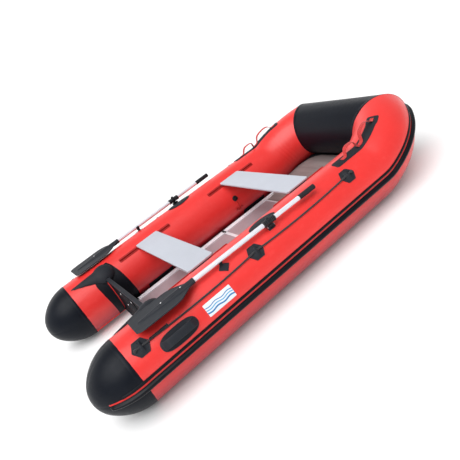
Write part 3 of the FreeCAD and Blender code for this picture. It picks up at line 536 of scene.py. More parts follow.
def ripple(s, phi):
    """Small puckers beside the glued seams and on the inside of the bends."""
    s, phi = np.broadcast_arrays(s, phi)
    d0 = np.exp(-((s - 0.0) / 0.05) ** 2)
    d1 = np.exp(-((s - (S_TURN + 0.02)) / 0.10) ** 2)
    inner = np.clip(-np.cos(phi), 0, 1)
    bend = np.clip((s - X_RISE) / 0.15, 0, 1)
    w = 0.0006 * d0 * np.sin(phi * 22 + 1.3) + 0.0012 * d1 * np.sin(phi * 15 + 0.4) * (0.4 + inner)
    w = w + 0.0006 * bend * inner ** 3 * np.sin(s * 2 * math.pi / 0.052 + 1.5 * np.sin(phi * 3)) * (0.6 + 0.4 * np.sin(s * 21.0))
    return w


def side_tube(side, name, node):
    sv = np.unique(np.concatenate([np.linspace(0.0, 0.10, 10), np.linspace(0.10, X_RISE, 70), np.linspace(X_RISE, S_TURN - 0.10, 60)]))
    S, P = np.meshgrid(sv, PH, indexing="ij")
    G = tp(S, P, R + ripple(S, P), side)
    mr = mitre(PH, R, side)
    base = G[-1]
    extra = []
    for t in np.linspace(0, 1, 16)[1:]:
        s_here = (S_TURN - 0.10) + 0.10 * t
        q = tp(np.full_like(PH, s_here), PH, R + ripple(np.full_like(PH, s_here), PH), side)
        m_ = mr
        w = t ** 1.0
        extra.append((q, w, m_))
    # run each generator from the last full ring to the mitre along the arc
    rows = [G]
    last_s = np.full_like(PH, S_TURN - 0.10)
    # distance left along the axis for each angle, negative on the inside of the bend
    d = R * (np.cos(PH))
    tau = -(d * (OUT3 @ MN)) / (T3 @ MN)
    s_end = S_TURN + tau
    for t in np.linspace(0, 1, 14)[1:-1]:
        ss = last_s + (s_end - last_s) * t
        q = tp(ss, PH, R + ripple(ss, PH) * (1 - t * 0.6), side)
        rows.append(q[None])
    rows.append(mr[None])
    G = np.concatenate(rows, 0)
    return grid_mesh(name, G, wrap=True, deg=50)


put(link("port_side_tube_fabric", side_tube(1, "port_side_tube_fabric", None)), M_RED, "port_side_tube")
put(link("starboard_side_tube_fabric", side_tube(-1, "starboard_side_tube_fabric", None)), M_RED, "starboard_side_tube")

# bow tube between the two mitres
A, B = mitre(PH, R, 1), mitre(PH, R, -1)
rows = []
for t in np.linspace(0, 1, 60):
    e = min(t, 1 - t)
    amp = 0.0012 * math.exp(-(e / 0.06) ** 2) + 0.0004
    q = A + (B - A) * t
    cen = np.array([E3[0] - CX, 0, E3[2]])
    dirv = q - cen
    dirv[:, 1] = 0
    dirv /= np.linalg.norm(dirv, axis=1)[:, None]
    q = q + dirv * (amp * np.sin(PH * 14 + 2.0 + 5 * t))[:, None] * (0 if t in (0.0, 1.0) else 1)
    rows.append(q)
put(link("bow_tube_fabric", grid_mesh("bow_tube_fabric", np.array(rows), wrap=True, deg=50)), M_BLK, "bow_tube")


def cone_mesh(side, name):
    sv = np.linspace(0.0, S_CONE * 0.9995, 44)
    S, P = np.meshgrid(sv, PH, indexing="ij")
    # gores: four panel seams that pinch the end very slightly
    f = np.clip(-S / 0.2, 0, 1)
    G = tp(S, P, R - 0.0015 * f * np.exp(-((np.mod(P + math.pi / 4, math.pi / 2) - math.pi / 4) / 0.05) ** 2), side)
    return grid_mesh(name, G, wrap=True, cap1=True, deg=60)


put(link("port_stern_cone_fabric", cone_mesh(1, "port_cone")), M_BLK, "port_stern_cone")
put(link("starboard_stern_cone_fabric", cone_mesh(-1, "stbd_cone")), M_BLK, "starboard_stern_cone")


def ring_tape(side, s0, s1, lift, name, mat, p0=0.0, p1=2 * math.pi, body="hull"):
    """Glued tape round a tube, feathered at its edges."""
    full = abs(p1 - p0 - 2 * math.pi) < 1e-6
    ph = np.linspace(p0, p1, 120, endpoint=not full)
    prof = [(0.0, 0.0001), (0.06, lift), (0.5, lift * 1.05), (0.94, lift), (1.0, 0.0001)]
    rows = [tp(np.full_like(ph, s0 + (s1 - s0) * t), ph, R + h, side) for t, h in prof]
    o = link(name, grid_mesh(name, np.array(rows), wrap=full, deg=50))
    return put(o, mat, None, body)


for sd, pn in ((1, "port"), (-1, "starboard")):
    ring_tape(sd, -0.026, 0.0005, 0.0010, pn + "_cone_seam_tape", M_BLK)


def run_tape(side, phi_c, width, lift, name, mat, s0=0.0):
    """Lengthwise tape along a side tube, from the stern to the mitre."""
    pr = [(-0.5, 0.0001), (-0.46, lift), (0.0, lift), (0.46, lift), (0.5, 0.0001)]
    ph = np.array([phi_c + a * width / R for a, _ in pr])
    rr = np.array([R + h for _, h in pr])
    sv = np.unique(np.concatenate([np.linspace(s0, X_RISE, 50), np.linspace(X_RISE, S_TURN - 0.10, 40)]))
    S, P = np.meshgrid(sv, ph, indexing="ij")
    G = tp(S, P, np.broadcast_to(rr, S.shape), side)
    tau = -(R * np.cos(ph) * (OUT3 @ MN)) / (T3 @ MN)
    rows = [G]
    for t in np.linspace(0, 1, 8)[1:]:
        ss = (S_TURN - 0.10) + (S_TURN + tau - (S_TURN - 0.10)) * t
        rows.append(tp(ss, ph, rr, side)[None])
    o = link(name, grid_mesh(name, np.concatenate(rows, 0), deg=50))
    return put(o, mat, None, "hull")


for sd, pn in ((1, "port"), (-1, "starboard")):
    run_tape(sd, RAD(-128), 0.040, 0.0008, pn + "_bottom_seam_tape", M_REDT)
    sv = np.linspace(-0.222, 0.030, 60)
    ph_ = np.array([RAD(1.6), RAD(1.75), RAD(3.4), RAD(5.05), RAD(5.2)])
    S_, P_ = np.meshgrid(sv, ph_, indexing="ij")
    lf = np.broadcast_to(np.array([0.0002, 0.0013, 0.0014, 0.0013, 0.0002]), S_.shape) * np.clip((S_ + 0.222) / 0.004, 0.1, 1)
    o = link(pn + "_strake_backing_tape", grid_mesh("bt", tp(S_, P_, R + lf, sd), deg=50))
    put(o, M_REDT, None, "hull")


# ------------------------------------------------------------------ strakes
def around(ph, rr, s_start, name, taper=0.03):
    """Sweep a closed section (angles, radii) from one stern cone round the bow to the other."""
    ph, rr = np.asarray(ph), np.asarray(rr)
    sv = np.unique(np.concatenate([np.linspace(s_start, 0, 26), np.linspace(0, X_RISE, 40), np.linspace(X_RISE, S_TURN - 0.06, 36)]))
    half = []
    pc = ph.mean()
    for s in sv:
        k = min(1.0, max(0.0, (s - s_start) / taper))
        k = math.sin(k * math.pi / 2)
        r_ = R + 0.0005 + (rr - R - 0.0005) * max(k, 0.04)
        p_ = pc + (ph - pc) * (0.35 + 0.65 * k)
        half.append((np.full_like(ph, s), p_, r_))
    tau = -(rr * np.cos(ph) * (OUT3 @ MN)) / (T3 @ MN)
    s_end = S_TURN + tau
    for t in np.linspace(0, 1, 8)[1:-1]:
        half.append(((S_TURN - 0.06) + (s_end - (S_TURN - 0.06)) * t, ph, rr))
    port = [tp(a, b, c, 1) for a, b, c in half]
    stb = [tp(a, b, c, -1) for a, b, c in half]
    mp_, ms_ = mitre(ph, rr, 1), mitre(ph, rr, -1)
    bow = [mp_ + (ms_ - mp_) * t for t in np.linspace(0, 1, 14)]
    # ease the corner over a few rings
    allr = port + bow + stb[::-1]
    G = np.array(allr)
    i0 = len(port)
    for _ in range(6):
        for c in (i0, i0 + 13):
            for j in range(c - 4, c + 5):
                G[j] = 0.5 * G[j] + 0.25 * (G[j - 1] + G[j + 1])
    me = grid_mesh(name, G, wrap=True, cap0=True, cap1=True, deg=55)
    return me


def rail_profile():
    """Thick hollow rubbing strake: two shoulders, a domed crown and a shallow groove each side of it."""
    a0, a1, h = -8.4, 2.0, 0.021
    pts = []
    prof = [(0.0, 0.0004), (0.0, 0.0045), (0.035, 0.0062), (0.11, 0.0066), (0.15, 0.0085), (0.20, 0.0135), (0.28, 0.0178), (0.40, 0.0205), (0.50, 0.0212),
            (0.60, 0.0205), (0.72, 0.0178), (0.80, 0.0135), (0.85, 0.0085), (0.89, 0.0066), (0.965, 0.0062), (1.0, 0.0045), (1.0, 0.0004), (0.75, 0.0004), (0.5, 0.0004), (0.25, 0.0004)]
    ph = [RAD(a0 + (a1 - a0) * t) for t, _ in prof]
    rr = [R + 0.0002 + q for _, q in prof]
    return ph, rr


ph, rr = rail_profile()
put(link("rub_rail_moulding", around(ph, rr, -0.228, "rub_rail")), M_STRAKE, "rub_rails")
prof = [(0.0, 0.0004), (0.02, 0.0026), (0.12, 0.0036), (0.20, 0.0036), (0.24, 0.0044), (0.5, 0.0050), (0.76, 0.0044), (0.80, 0.0036), (0.88, 0.0036), (0.98, 0.0026), (1.0, 0.0004), (0.5, 0.0004)]
ph = [RAD(4.8 + 4.8 * t) for t, _ in prof]
rr = [R + 0.0002 + q for _, q in prof]
put(link("rub_strip_moulding", around(ph, rr, -0.156, "rub_strip")), M_STRAKE, "rub_strips")


# ------------------------------------------------------------------ relief plates on the tube
def plate(side, s0, phi0, outline, t, name, inset=0.006, dish=0.0, mat=None, node=None, slot=None, rings=None, groove=True, base=0.0004):
    """Bonded patch: rounded rim, a moulded line inside the rim and a slightly dished middle."""
    pts = np.array(outline, float)
    # resample the outline evenly
    closed = np.vstack([pts, pts[:1]])
    seg = np.linalg.norm(np.diff(closed, axis=0), axis=1)
    L = np.concatenate([[0], np.cumsum(seg)])
    n = 120
    u = np.linspace(0, L[-1], n, endpoint=False)
    P = np.stack([np.interp(u, L, closed[:, 0]), np.interp(u, L, closed[:, 1])], 1)
    # soften the corners
    for _ in range(3):
        P = 0.5 * P + 0.25 * (np.roll(P, 1, 0) + np.roll(P, -1, 0))
    c = P.mean(0)
    size = np.linalg.norm(P - c, axis=1).mean()
    d = lambda q: 1 - q / size
    lev = [(1.0, base), (1.0, t * 0.55), (d(0.0008), t * 0.85), (d(0.0022), t)]
    if groove:
        lev += [(d(inset), t), (d(inset + 0.0012), t - 0.0009), (d(inset + 0.0026), t - 0.0009), (d(inset + 0.0038), t)]
    lev += [(0.6, t - dish * 0.5), (0.3, t - dish), (0.02, t - dish)]
    rows = []
    for k, h in lev:
        q = c + (P - c) * k
        rows.append(tp(s0 + q[:, 0], phi0 + q[:, 1] / R, R + h, side))
    me = grid_mesh(name, np.array(rows), wrap=True, cap1=True, deg=50)
    uv = np.concatenate([c + (P - c) * k for k, _ in lev])
    strip_uv(me, uv)
    o = link(name, me)
    return o


def tube_obj(name, pts, rad, n=20, twist=0.0, closed_ends=True, lobes=0, lobe_h=0.0):
    """Round bar along a polyline of points, with optional rope lay."""
    P = np.asarray(pts, float)
    T = np.gradient(P, axis=0)
    T /= np.linalg.norm(T, axis=1)[:, None]
    U = np.cross(T, [0.13, 0.21, 0.97])
    U /= np.linalg.norm(U, axis=1)[:, None]
    W = np.cross(T, U)
    s = np.concatenate([[0], np.cumsum(np.linalg.norm(np.diff(P, axis=0), axis=1))])
    a = np.linspace(0, 2 * math.pi, n, endpoint=False)
    rad = np.broadcast_to(np.asarray(rad, float), (len(P),))
    rows = []
    for i in range(len(P)):
        rr_ = rad[i] * (1 + (lobe_h * np.abs(np.cos(lobes / 2 * (a - twist * s[i]))) if lobes else 0) - (lobe_h if lobes else 0))
        rows.append(P[i] + rr_[:, None] * (np.cos(a)[:, None] * U[i] + np.sin(a)[:, None] * W[i]) if lobes else P[i] + rad[i] * (np.cos(a)[:, None] * U[i] + np.sin(a)[:, None] * W[i]))
    me = grid_mesh(name, np.array(rows), wrap=True, cap0=closed_ends, cap1=closed_ends, deg=60)
    uv = np.array([(s[i], a[j] * rad[i]) for i in range(len(P)) for j in range(n)])
    strip_uv(me, uv)
    return link(name, me)


def joined(name, objs):
    """One mesh from several, keeping the run coordinates."""
    bm = bmesh.new()
    for o in objs:
        bm.from_mesh(o.data)
    me = bpy.data.meshes.new(name)
    bm.to_mesh(me)
    bm.free()
    for o in objs:
        d_ = o.data
        bpy.data.objects.remove(o)
        bpy.data.meshes.remove(d_)
    return link(name, me)


# ------------------------------------------------------------------ lifeline, patches
ROPE_PHI, ROPE_R = RAD(48.0), R + 0.0105
PATCH_S = [0.093, 0.922, 1.728]


def rope(side, name):
    sv = np.linspace(0.060, 1.762, 520)
    phi, rad = [], []
    for s in sv:
        sag, drop = 0.0, 0.0
        for a, b in ((0.118, 0.897), (0.947, 1.703)):
            if a < s < b:
                t = (s - a) / (b - a)
                k = math.sin(math.pi * t) ** 0.8
                sag = 0.011 * k
                drop = 0.0048 * min(1.0, k * 2.5)
        phi.append(ROPE_PHI - sag / R)
        rad.append(ROPE_R - drop)
    pts = tp(sv, np.array(phi), np.array(rad), side)
    return tube_obj(name, pts, 0.0054, n=18, twist=2 * math.pi / 0.030, lobes=6, lobe_h=0.10)


def knot(side, s, name):
    """Stopper knot: three wraps round the end of the line."""
    t = np.linspace(0, 3.0 * 2 * math.pi, 150)
    c = tp(s, ROPE_PHI, ROPE_R, side)
    n = tp(s, ROPE_PHI, ROPE_R + 1.0, side) - c
    x = np.array([1.0, 0, 0])
    b = np.cross(x, n)
    q = c + np.outer(np.linspace(-0.0062, 0.0062, 150), x) + 0.0056 * (np.outer(np.cos(t), n) + np.outer(np.sin(t), b))
    return tube_obj(name, q, 0.0036, n=12)


for sd, pn in ((1, "port"), (-1, "starboard")):
    o = joined(pn + "_lifeline_rope", [rope(sd, "a"), knot(sd, 0.0585, "b"), knot(sd, 1.7625, "c")])
    put(o, M_ROPE, pn + "_lifeline")

# bonded lifeline patches: hexagons with a raised saddle that the line runs through
def relief(side, s0, phi0, outline, hfun, name, rings=16, n=132, base=0.0003, corner=3, rim=0.003):
    """Patch bonded on the tube whose height over the fabric is hfun(along, across)."""
    pts = np.array(outline, float)
    closed = np.vstack([pts, pts[:1]])
    seg = np.linalg.norm(np.diff(closed, axis=0), axis=1)
    L = np.concatenate([[0], np.cumsum(seg)])
    u = np.linspace(0, L[-1], n, endpoint=False)
    P = np.stack([np.interp(u, L, closed[:, 0]), np.interp(u, L, closed[:, 1])], 1)
    for _ in range(corner):
        P = 0.5 * P + 0.25 * (np.roll(P, 1, 0) + np.roll(P, -1, 0))
    c = P.mean(0)
    size = np.linalg.norm(P - c, axis=1).mean()
    ks = [1.0, 1.0, 1.0 - 0.25 * rim / size, 1.0 - 0.8 * rim / size]
    ks += list(np.linspace(1.0 - 1.6 * rim / size, 0.02, rings))
    rows, uvs = [], []
    for i, k in enumerate(ks):
        q = c + (P - c) * k
        h = hfun(q[:, 0], q[:, 1])
        f = [0.0, 0.55, 0.85, 1.0][i] if i < 4 else 1.0
        rows.append(tp(s0 + q[:, 0], phi0 + q[:, 1] / R, R + np.maximum(base, h * f), side))
        uvs.append(q)
    me = grid_mesh(name, np.array(rows), wrap=True, cap1=True, deg=55)
    strip_uv(me, np.concatenate(uvs))
    return link(name, me)


def poly_dist(x, v, pts):
    """Distance inwards from the edges of a convex outline."""
    d = np.full(np.shape(x), 9.0)
    m = len(pts)
    for i in range(m):
        a, b = np.array(pts[i]), np.array(pts[(i + 1) % m])
        e = b - a
        L = np.hypot(*e)
        d = np.minimum(d, np.abs((np.asarray(x) - a[0]) * e[1] - (np.asarray(v) - a[1]) * e[0]) / L)
    return d


def groove(d, at, w, depth):
    return -depth * np.exp(-((d - at) / w) ** 2)


HEXA = [(0.058 * math.cos(RAD(60 * i)), 0.056 * math.sin(RAD(60 * i))) for i in range(6)]


def hex_h(x, v):
    d = poly_dist(x, v, HEXA)
    h = 0.0045 + groove(d, 0.0065, 0.0011, 0.0012)
    k = np.clip(1 - (v / 0.040) ** 2, 0, 1) ** 1.2
    ridge = 0.0150 * k / (1 + (x / 0.0125) ** 4)
    eye = -0.0045 * np.exp(-((x / 0.005) ** 2 + ((v - 0.024) / 0.005) ** 2))
    return np.minimum(h + ridge + eye * (ridge > 0.002), 0.0198)


lst = []
for sd in (1, -1):
    for s in PATCH_S:
        lst.append(relief(sd, s, ROPE_PHI, HEXA, hex_h, "hx", rings=34, n=156))
put(joined("lifeline_patch_mouldings", lst), M_PATCH, "lifeline_patches")

lst = []
for sd in (1, -1):
    sv = np.linspace(0.1525, 0.2725, 40)
    rr_ = 0.0070 + 0.0010 * np.exp(-((sv - 0.2725) / 0.006) ** 2) + 0.0010 * np.exp(-((sv - 0.1525) / 0.006) ** 2) + 0.0003 * np.sin(sv * 400)
    lst.append(tube_obj("sl", tp(sv, ROPE_PHI, ROPE_R - 0.001, sd), rr_, n=28))
put(joined("lifeline_sleeve_hose", lst), M_SLEEVE, "lifeline_sleeves")


# ------------------------------------------------------------------ carry handles
HX, HPH = 0.291, RAD(27.2)


def oval(a, b, pw=0.72, n=64):
    o = []
    for i in range(n):
        t = 2 * math.pi * i / n
        o.append((a * math.copysign(abs(math.cos(t)) ** pw, math.cos(t)), b * math.copysign(abs(math.sin(t)) ** pw, math.sin(t))))
    return o


def ribbon(name, C, W, Nn, half_w, half_t, corner=0.5, n_side=7, cap=True):
    """Flat bar with rounded edges along centre points C, with width and thickness directions."""
    a = np.linspace(0, 2 * math.pi, 28, endpoint=False)
    cx = np.sign(np.cos(a)) * np.abs(np.cos(a)) ** corner
    cy = np.sign(np.sin(a)) * np.abs(np.sin(a)) ** corner
    half_w = np.broadcast_to(half_w, (len(C),))
    half_t = np.broadcast_to(half_t, (len(C),))
    rows = [C[i] + (half_w[i] * cx)[:, None] * W[i] + (half_t[i] * cy)[:, None] * Nn[i] for i in range(len(C))]
    me = grid_mesh(name, np.array(rows), wrap=True, cap0=cap, cap1=cap, deg=55)
    s = np.concatenate([[0], np.cumsum(np.linalg.norm(np.diff(C, axis=0), axis=1))])
    strip_uv(me, np.array([(s[i], half_w[i] * cx[j]) for i in range(len(C)) for j in range(len(a))]))
    return link(name, me)


def smooth_path(pts, n, it=3):
    """Rounded line through a few corner points."""
    P = np.array(pts, float)
    for _ in range(it):
        Q = [P[0]]
        for i in range(len(P) - 1):
            Q += [0.75 * P[i] + 0.25 * P[i + 1], 0.25 * P[i] + 0.75 * P[i + 1]]
        Q.append(P[-1])
        P = np.array(Q)
    L = np.concatenate([[0], np.cumsum(np.linalg.norm(np.diff(P, axis=0), axis=1))])
    u = np.linspace(0, L[-1], n)
    return np.stack([np.interp(u, L, P[:, k]) for k in range(P.shape[1])], 1)


OV = oval(0.122, 0.050)


def handle_h(x, v):
    rr_ = ((np.abs(x) / 0.122) ** 2.8 + (np.abs(v) / 0.050) ** 2.8) ** (1 / 2.8)
    h = 0.0034 + 0.0016 * np.exp(-((rr_ - 0.93) / 0.05) ** 2) + 0 * x
    foot = 0.006 * np.exp(-(((np.abs(x) - 0.090) / 0.022) ** 4)) * np.exp(-((v / 0.025) ** 4))
    return h + foot


lst = []
for sd in (1, -1):
    lst.append(relief(sd, HX, HPH, OV, handle_h, "hb", rings=26, n=140))
    q = smooth_path([(-0.105, 0.0035), (-0.087, 0.022), (-0.068, 0.0385), (0.068, 0.0385), (0.087, 0.022), (0.105, 0.0035)], 64, 3)
    C = tp(HX + q[:, 0], HPH, R + q[:, 1], sd)
    Wd = tp(0.3, HPH + 0.01, R, sd) - tp(0.3, HPH - 0.01, R, sd)
    Wd = Wd / np.linalg.norm(Wd)
    T = np.gradient(C, axis=0)
    T /= np.linalg.norm(T, axis=1)[:, None]
    Nn = np.cross(T, Wd)
    Wd = np.broadcast_to(Wd, C.shape)
    e = np.abs(np.linspace(-1, 1, 64))
    rib = 0.0006 * np.cos(q[:, 0] / 0.0075 * 2 * math.pi) * (np.abs(q[:, 0]) < 0.054)
    lst.append(ribbon("hg", C, Wd, Nn, 0.0240 + 0.003 * e ** 6, 0.0072 + rib, corner=0.62))
put(joined("carry_handle_mouldings", lst), M_PATCH, "carry_handles")

# ------------------------------------------------------------------ label
LAB = [(-0.097, -0.038), (0.097, -0.038), (0.097, 0.038), (-0.097, 0.038)]
o = relief(-1, 0.573, RAD(26.5), LAB, lambda x, v: 0.0009 + 0 * x, "side_panel_film", rings=8, n=160, rim=0.001, corner=1)
put(o, M_LABEL, "side_label")

# ------------------------------------------------------------------ transom, horns, flanges
lst = []
for sd in (1, -1):
    def arcv(a):
        return (RAD(a) - RAD(167)) * R
    fore = [(0.2942, arcv(231)), (0.2942, arcv(108.5)), (0.345, arcv(108.5)), (0.363, arcv(122)), (0.385, arcv(148)), (0.399, arcv(176)), (0.4075, arcv(198)), (0.4090, arcv(231))]
    fl_h = lambda x, v: 0.0022 + 0.0003 * np.sin(x * 160) * np.sin(v * 60)
    lst.append(relief(sd, 0.0, RAD(167), fore, fl_h, "ff", rings=40, n=220, rim=0.003, corner=2))
    aft = [(0.2556, (RAD(231) - RAD(181)) * R), (0.2556, (RAD(134.5) - RAD(181)) * R), (0.186, (RAD(134.5) - RAD(181)) * R), (0.1785, (RAD(144) - RAD(181)) * R), (0.187, (RAD(169) - RAD(181)) * R), (0.197, (RAD(190) - RAD(181)) * R), (0.205, (RAD(216) - RAD(181)) * R), (0.206, (RAD(231) - RAD(181)) * R)]
    lst.append(relief(sd, 0.0, RAD(181), aft, fl_h, "fa", rings=30, n=200, rim=0.003, corner=2))
put(joined("transom_flange_fabric", lst), M_FLANGE, "transom_flanges")

for pn in ("port", "starboard"):
    put(soft_copy(pn + "_transom_horn", pn + "_transom_horn_moulding", 0.0034, iters=22, factor=0.6), M_PATCH, pn + "_transom_horn")


def bevel_copy(node, name, w, seg=3, deg=40):
    """Same solid with eased edges."""
    o = link(name, NODES[node].data.copy())
    bm = bmesh.new()
    bm.from_mesh(o.data)
    bmesh.ops.remove_doubles(bm, verts=bm.verts, dist=1e-6)
    bmesh.ops.dissolve_limit(bm, angle_limit=RAD(1.0), verts=bm.verts, edges=bm.edges)
    bm.to_mesh(o.data)
    bm.free()
    m = o.modifiers.new("b", "BEVEL")
    m.width = w
    m.segments = seg
    m.limit_method = "ANGLE"
    m.angle_limit = RAD(35)
    m.use_clamp_overlap = True
    bake(o)
    smooth(o.data, deg)
    return o


put(bevel_copy("transom_board", "transom_board_ply", 0.003), M_TRANSOM, "transom_board")
put(bevel_copy("outer_motor_pad", "outer_motor_pad_plate", 0.0016), M_PAD, "outer_motor_pad")
put(bevel_copy("inner_motor_pad", "inner_motor_pad_plate", 0.0016), M_PAD, "inner_motor_pad")
put(bevel_copy("bow_board", "bow_board_ply", 0.0025), M_BOWB, "bow_board")

# edge trim folded over the transom's top
prof = []
for a in np.linspace(0, 180, 15):
    prof.append((0.2745 + 0.0142 * math.cos(RAD(a)) * (1 if True else 0), 0.3555 + 0.0030 * math.sin(RAD(a)) ** 0.5))
prof = [(0.2887, 0.343), (0.2887, 0.352)] + prof + [(0.2603, 0.352), (0.2603, 0.343), (0.2621, 0.343), (0.2621, 0.3545), (0.2869, 0.3545), (0.2869, 0.343)]
yy = np.linspace(-0.398, 0.398, 24)
G = np.array([[(x - CX, y, z) for x, z in prof] for y in yy])
o = link("transom_edge_trim", grid_mesh("transom_edge_trim", G, wrap=True, cap0=True, cap1=True, deg=40))
put(o, M_PATCH, None, "hull")


def bolt(p, d, r=0.006, h=0.0035):
    """Domed bolt head."""
    d = np.array(d, float)
    u = np.cross(d, [0.3, 0.5, 0.8])
    u /= np.linalg.norm(u)
    w_ = np.cross(d, u)
    a = np.linspace(0, 2 * math.pi, 20, endpoint=False)
    rows = []
    for rr_, hh in ((r, -0.001), (r, 0.25 * h), (0.86 * r, 0.65 * h), (0.6 * r, 0.9 * h), (0.12 * r, h)):
        rows.append(np.array(p) + d * hh + rr_ * (np.cos(a)[:, None] * u + np.sin(a)[:, None] * w_))
    return link("bolt", grid_mesh("bolt", np.array(rows), wrap=True, cap0=True, cap1=True, deg=60))


lst = []
for y in (-0.105, 0.105):
    for z in (0.222, 0.319):
        lst.append(bolt((0.2566 - CX, y, z), (-1, 0, 0)))
for y in (-0.125, 0.125):
    for z in (0.235, 0.323):
        lst.append(bolt((0.2924 - CX, y, z), (1, 0, 0)))
put(joined("motor_pad_bolts", lst), M_STEEL, None, "hull")

# ------------------------------------------------------------------ bottom sheet
KZ = float(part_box("bottom_skin")[0][2])
cl = []
for s in np.linspace(0.1, S_TURN, 400):
    cl.append(tp(s, 0.0, 0.0, 1))
cl = np.array(cl)
bowc = np.array([[E3[0] - CX, y, E3[2]] for y in np.linspace(0.45, -0.45, 60)])
AX = np.concatenate([cl, bowc])


def near_axis(P):
    return np.min(np.linalg.norm(AX[None] - P[:, None], axis=2), axis=1)


SLOPE_V = None
bs = NODES["bottom_skin"].data
co = np.empty(len(bs.vertices) * 3)
bs.vertices.foreach_get("co", co)
co = co.reshape(-1, 3)
sel = co[co[:, 0] < 0.5]
far = sel[np.abs(sel[:, 1]).argmax()]
low = sel[:, 2].min()
SLOPE_V = (sel[np.abs(sel[:, 1]) > abs(far[1]) - 0.004][:, 2].min() - low) / (abs(far[1]) - 0.060)


def sheet_pt(s, y, lift):
    """Point of the V-bottom at a distance along the keel line."""
    ay = abs(y)
    k = 0.03
    z = low + SLOPE_V * (math.sqrt((max(ay - 0.03, 0)) ** 2 + k * k) - k if ay > 0.03 else 0.0) + lift
    if s <= X_RISE:
        return np.array([s - CX, y, z])
    al = min((s - X_RISE) / R_RISE, RISE)
    rr_ = R + R_RISE - z
    x = X_RISE + rr_ * math.sin(al)
    zz = R + R_RISE - rr_ * math.cos(al)
    if s > S_RISE:
        x += (s - S_RISE) * T2[0]
        zz += (s - S_RISE) * T2[2]
    return np.array([x - CX, y, zz])


rows_lo, rows_hi = [], []
ys = np.linspace(0, 0.56, 113)
s_end = None
for s in list(np.linspace(0.2535, X_RISE, 44)) + list(np.linspace(X_RISE, 2.62, 60))[1:]:
    P = np.array([sheet_pt(s, y, 0.0) for y in ys])
    d = near_axis(P)
    inside = np.where(d < R + 0.0002)[0]
    if len(inside) == 0:
        continue
    if inside[0] == 0:
        s_end = s
        break
    i = inside[0]
    f = (d[i - 1] - (R + 0.0002)) / max(d[i - 1] - d[i], 1e-9)
    ye = min(ys[i - 1] + (ys[i] - ys[i - 1]) * f + 0.001, 0.56)
    yy = ye * np.sin(np.linspace(-math.pi / 2, math.pi / 2, 61))
    rows_lo.append([sheet_pt(s, y, 0.0002) for y in yy])
    rows_hi.append([sheet_pt(s, y, 0.0014) for y in yy])
lo, hi = np.array(rows_lo), np.array(rows_hi)
G = np.concatenate([lo, hi[:, ::-1]], axis=1)
put(link("bottom_sheet_fabric", grid_mesh("bottom_sheet_fabric", G, wrap=True, cap0=True, cap1=True, deg=60)), M_UNDER, "bottom_skin")

# ------------------------------------------------------------------ floor
def extrude_x(name, prof, x0, x1, n=2, deg=30):
    G = np.array([[(x - CX, y, z) for y, z in prof] for x in np.linspace(x0, x1, n)])
    return link(name, grid_mesh(name, G, wrap=True, cap0=True, cap1=True, deg=deg))


def floor_profile():
    H, z0, z1 = 0.366, 0.0695, 0.0850
    top = []
    pitch = 0.0120
    n = int((2 * H - 0.012) / pitch)
    y0 = -n * pitch / 2
    top.append((-H, z0 + 0.001))
    top.append((-H, z1 - 0.0015))
    top.append((-H + 0.0015, z1))
    for i in range(n):
        a = y0 + i * pitch
        top += [(a + 0.0008, z1), (a + 0.0014, z1 - 0.0011), (a + 0.0030, z1 - 0.0011), (a + 0.0036, z1)]
    top += [(H - 0.0015, z1), (H, z1 - 0.0015), (H, z0 + 0.001), (H - 0.001, z0), (-H + 0.001, z0)]
    return top


FP = floor_profile()
for nm, (x0, x1) in zip(("floor_panel_aft", "floor_panel_mid", "floor_panel_fore"), ((0.300, 0.760), (0.764, 1.230), (1.234, 1.700))):
    put(extrude_x(nm + "_plank", FP, x0 + 0.0003, x1 - 0.0003, deg=25), M_FLOOR, nm)
put(bevel_copy("floor_joiners", "floor_joiner_profiles", 0.0008, seg=2), M_PROF, "floor_joiners")

lst = []
for sd in (1, -1):
    pr = [(0.3300, 0.0860), (0.3300, 0.0908), (0.3312, 0.0920), (0.3370, 0.0920), (0.3382, 0.0908), (0.3390, 0.0880), (0.3410, 0.0870), (0.3640, 0.0870),
          (0.3660, 0.0880), (0.3668, 0.0908), (0.3680, 0.0920), (0.3805, 0.0920), (0.3820, 0.0905), (0.3820, 0.0660), (0.3805, 0.0645), (0.3700, 0.0645), (0.3700, 0.0860)]
    pr = [(sd * y, z) for y, z in pr]
    lst.append(extrude_x("st", pr, 0.372, 1.832, deg=30))
put(joined("floor_stringer_profiles", lst), M_PROF, "floor_stringers")

# dark joint clips where the stringer lengths meet
lst = []
for sd in (1, -1):
    for x in (1.232,):
        pr = [(sd * y, z) for y, z in [(0.3292, 0.0850), (0.3292, 0.0922), (0.3300, 0.0930), (0.3820, 0.0930), (0.3828, 0.0922), (0.3828, 0.0850)]]
        lst.append(extrude_x("jc", pr, x - 0.009, x + 0.009))
put(joined("stringer_joint_clips", lst), M_CLIP, None, "hull")

# chafe pads under the ends of the stringers
lst = []
for sd in (1, -1):
    for x0, x1 in ((0.500, 0.735), (1.500, 1.735)):
        a0, a1 = RAD(207.3), RAD(230.8)
        c = 0.5 * (a0 + a1)
        hv = (a1 - a0) / 2 * R
        hs = (x1 - x0) / 2
        lst.append(relief(sd, (x0 + x1) / 2, c, [(-hs, -hv), (hs, -hv), (hs, hv), (-hs, hv)], lambda x, v: 0.0022 + 0 * x, "cp", rings=14, n=150, rim=0.002, corner=4))
put(joined("chafe_pad_patches", lst), M_PATCH, "chafe_pads")

# ------------------------------------------------------------------ seats and rails
for nm in ("front_seat", "rear_seat"):
    put(bevel_copy(nm, nm + "_plank", 0.0028, seg=4), M_SEAT, nm)
    put(bevel_copy(nm + "_clips", nm + "_clip_channels", 0.0008, seg=2), M_CLIP, nm + "_clips")

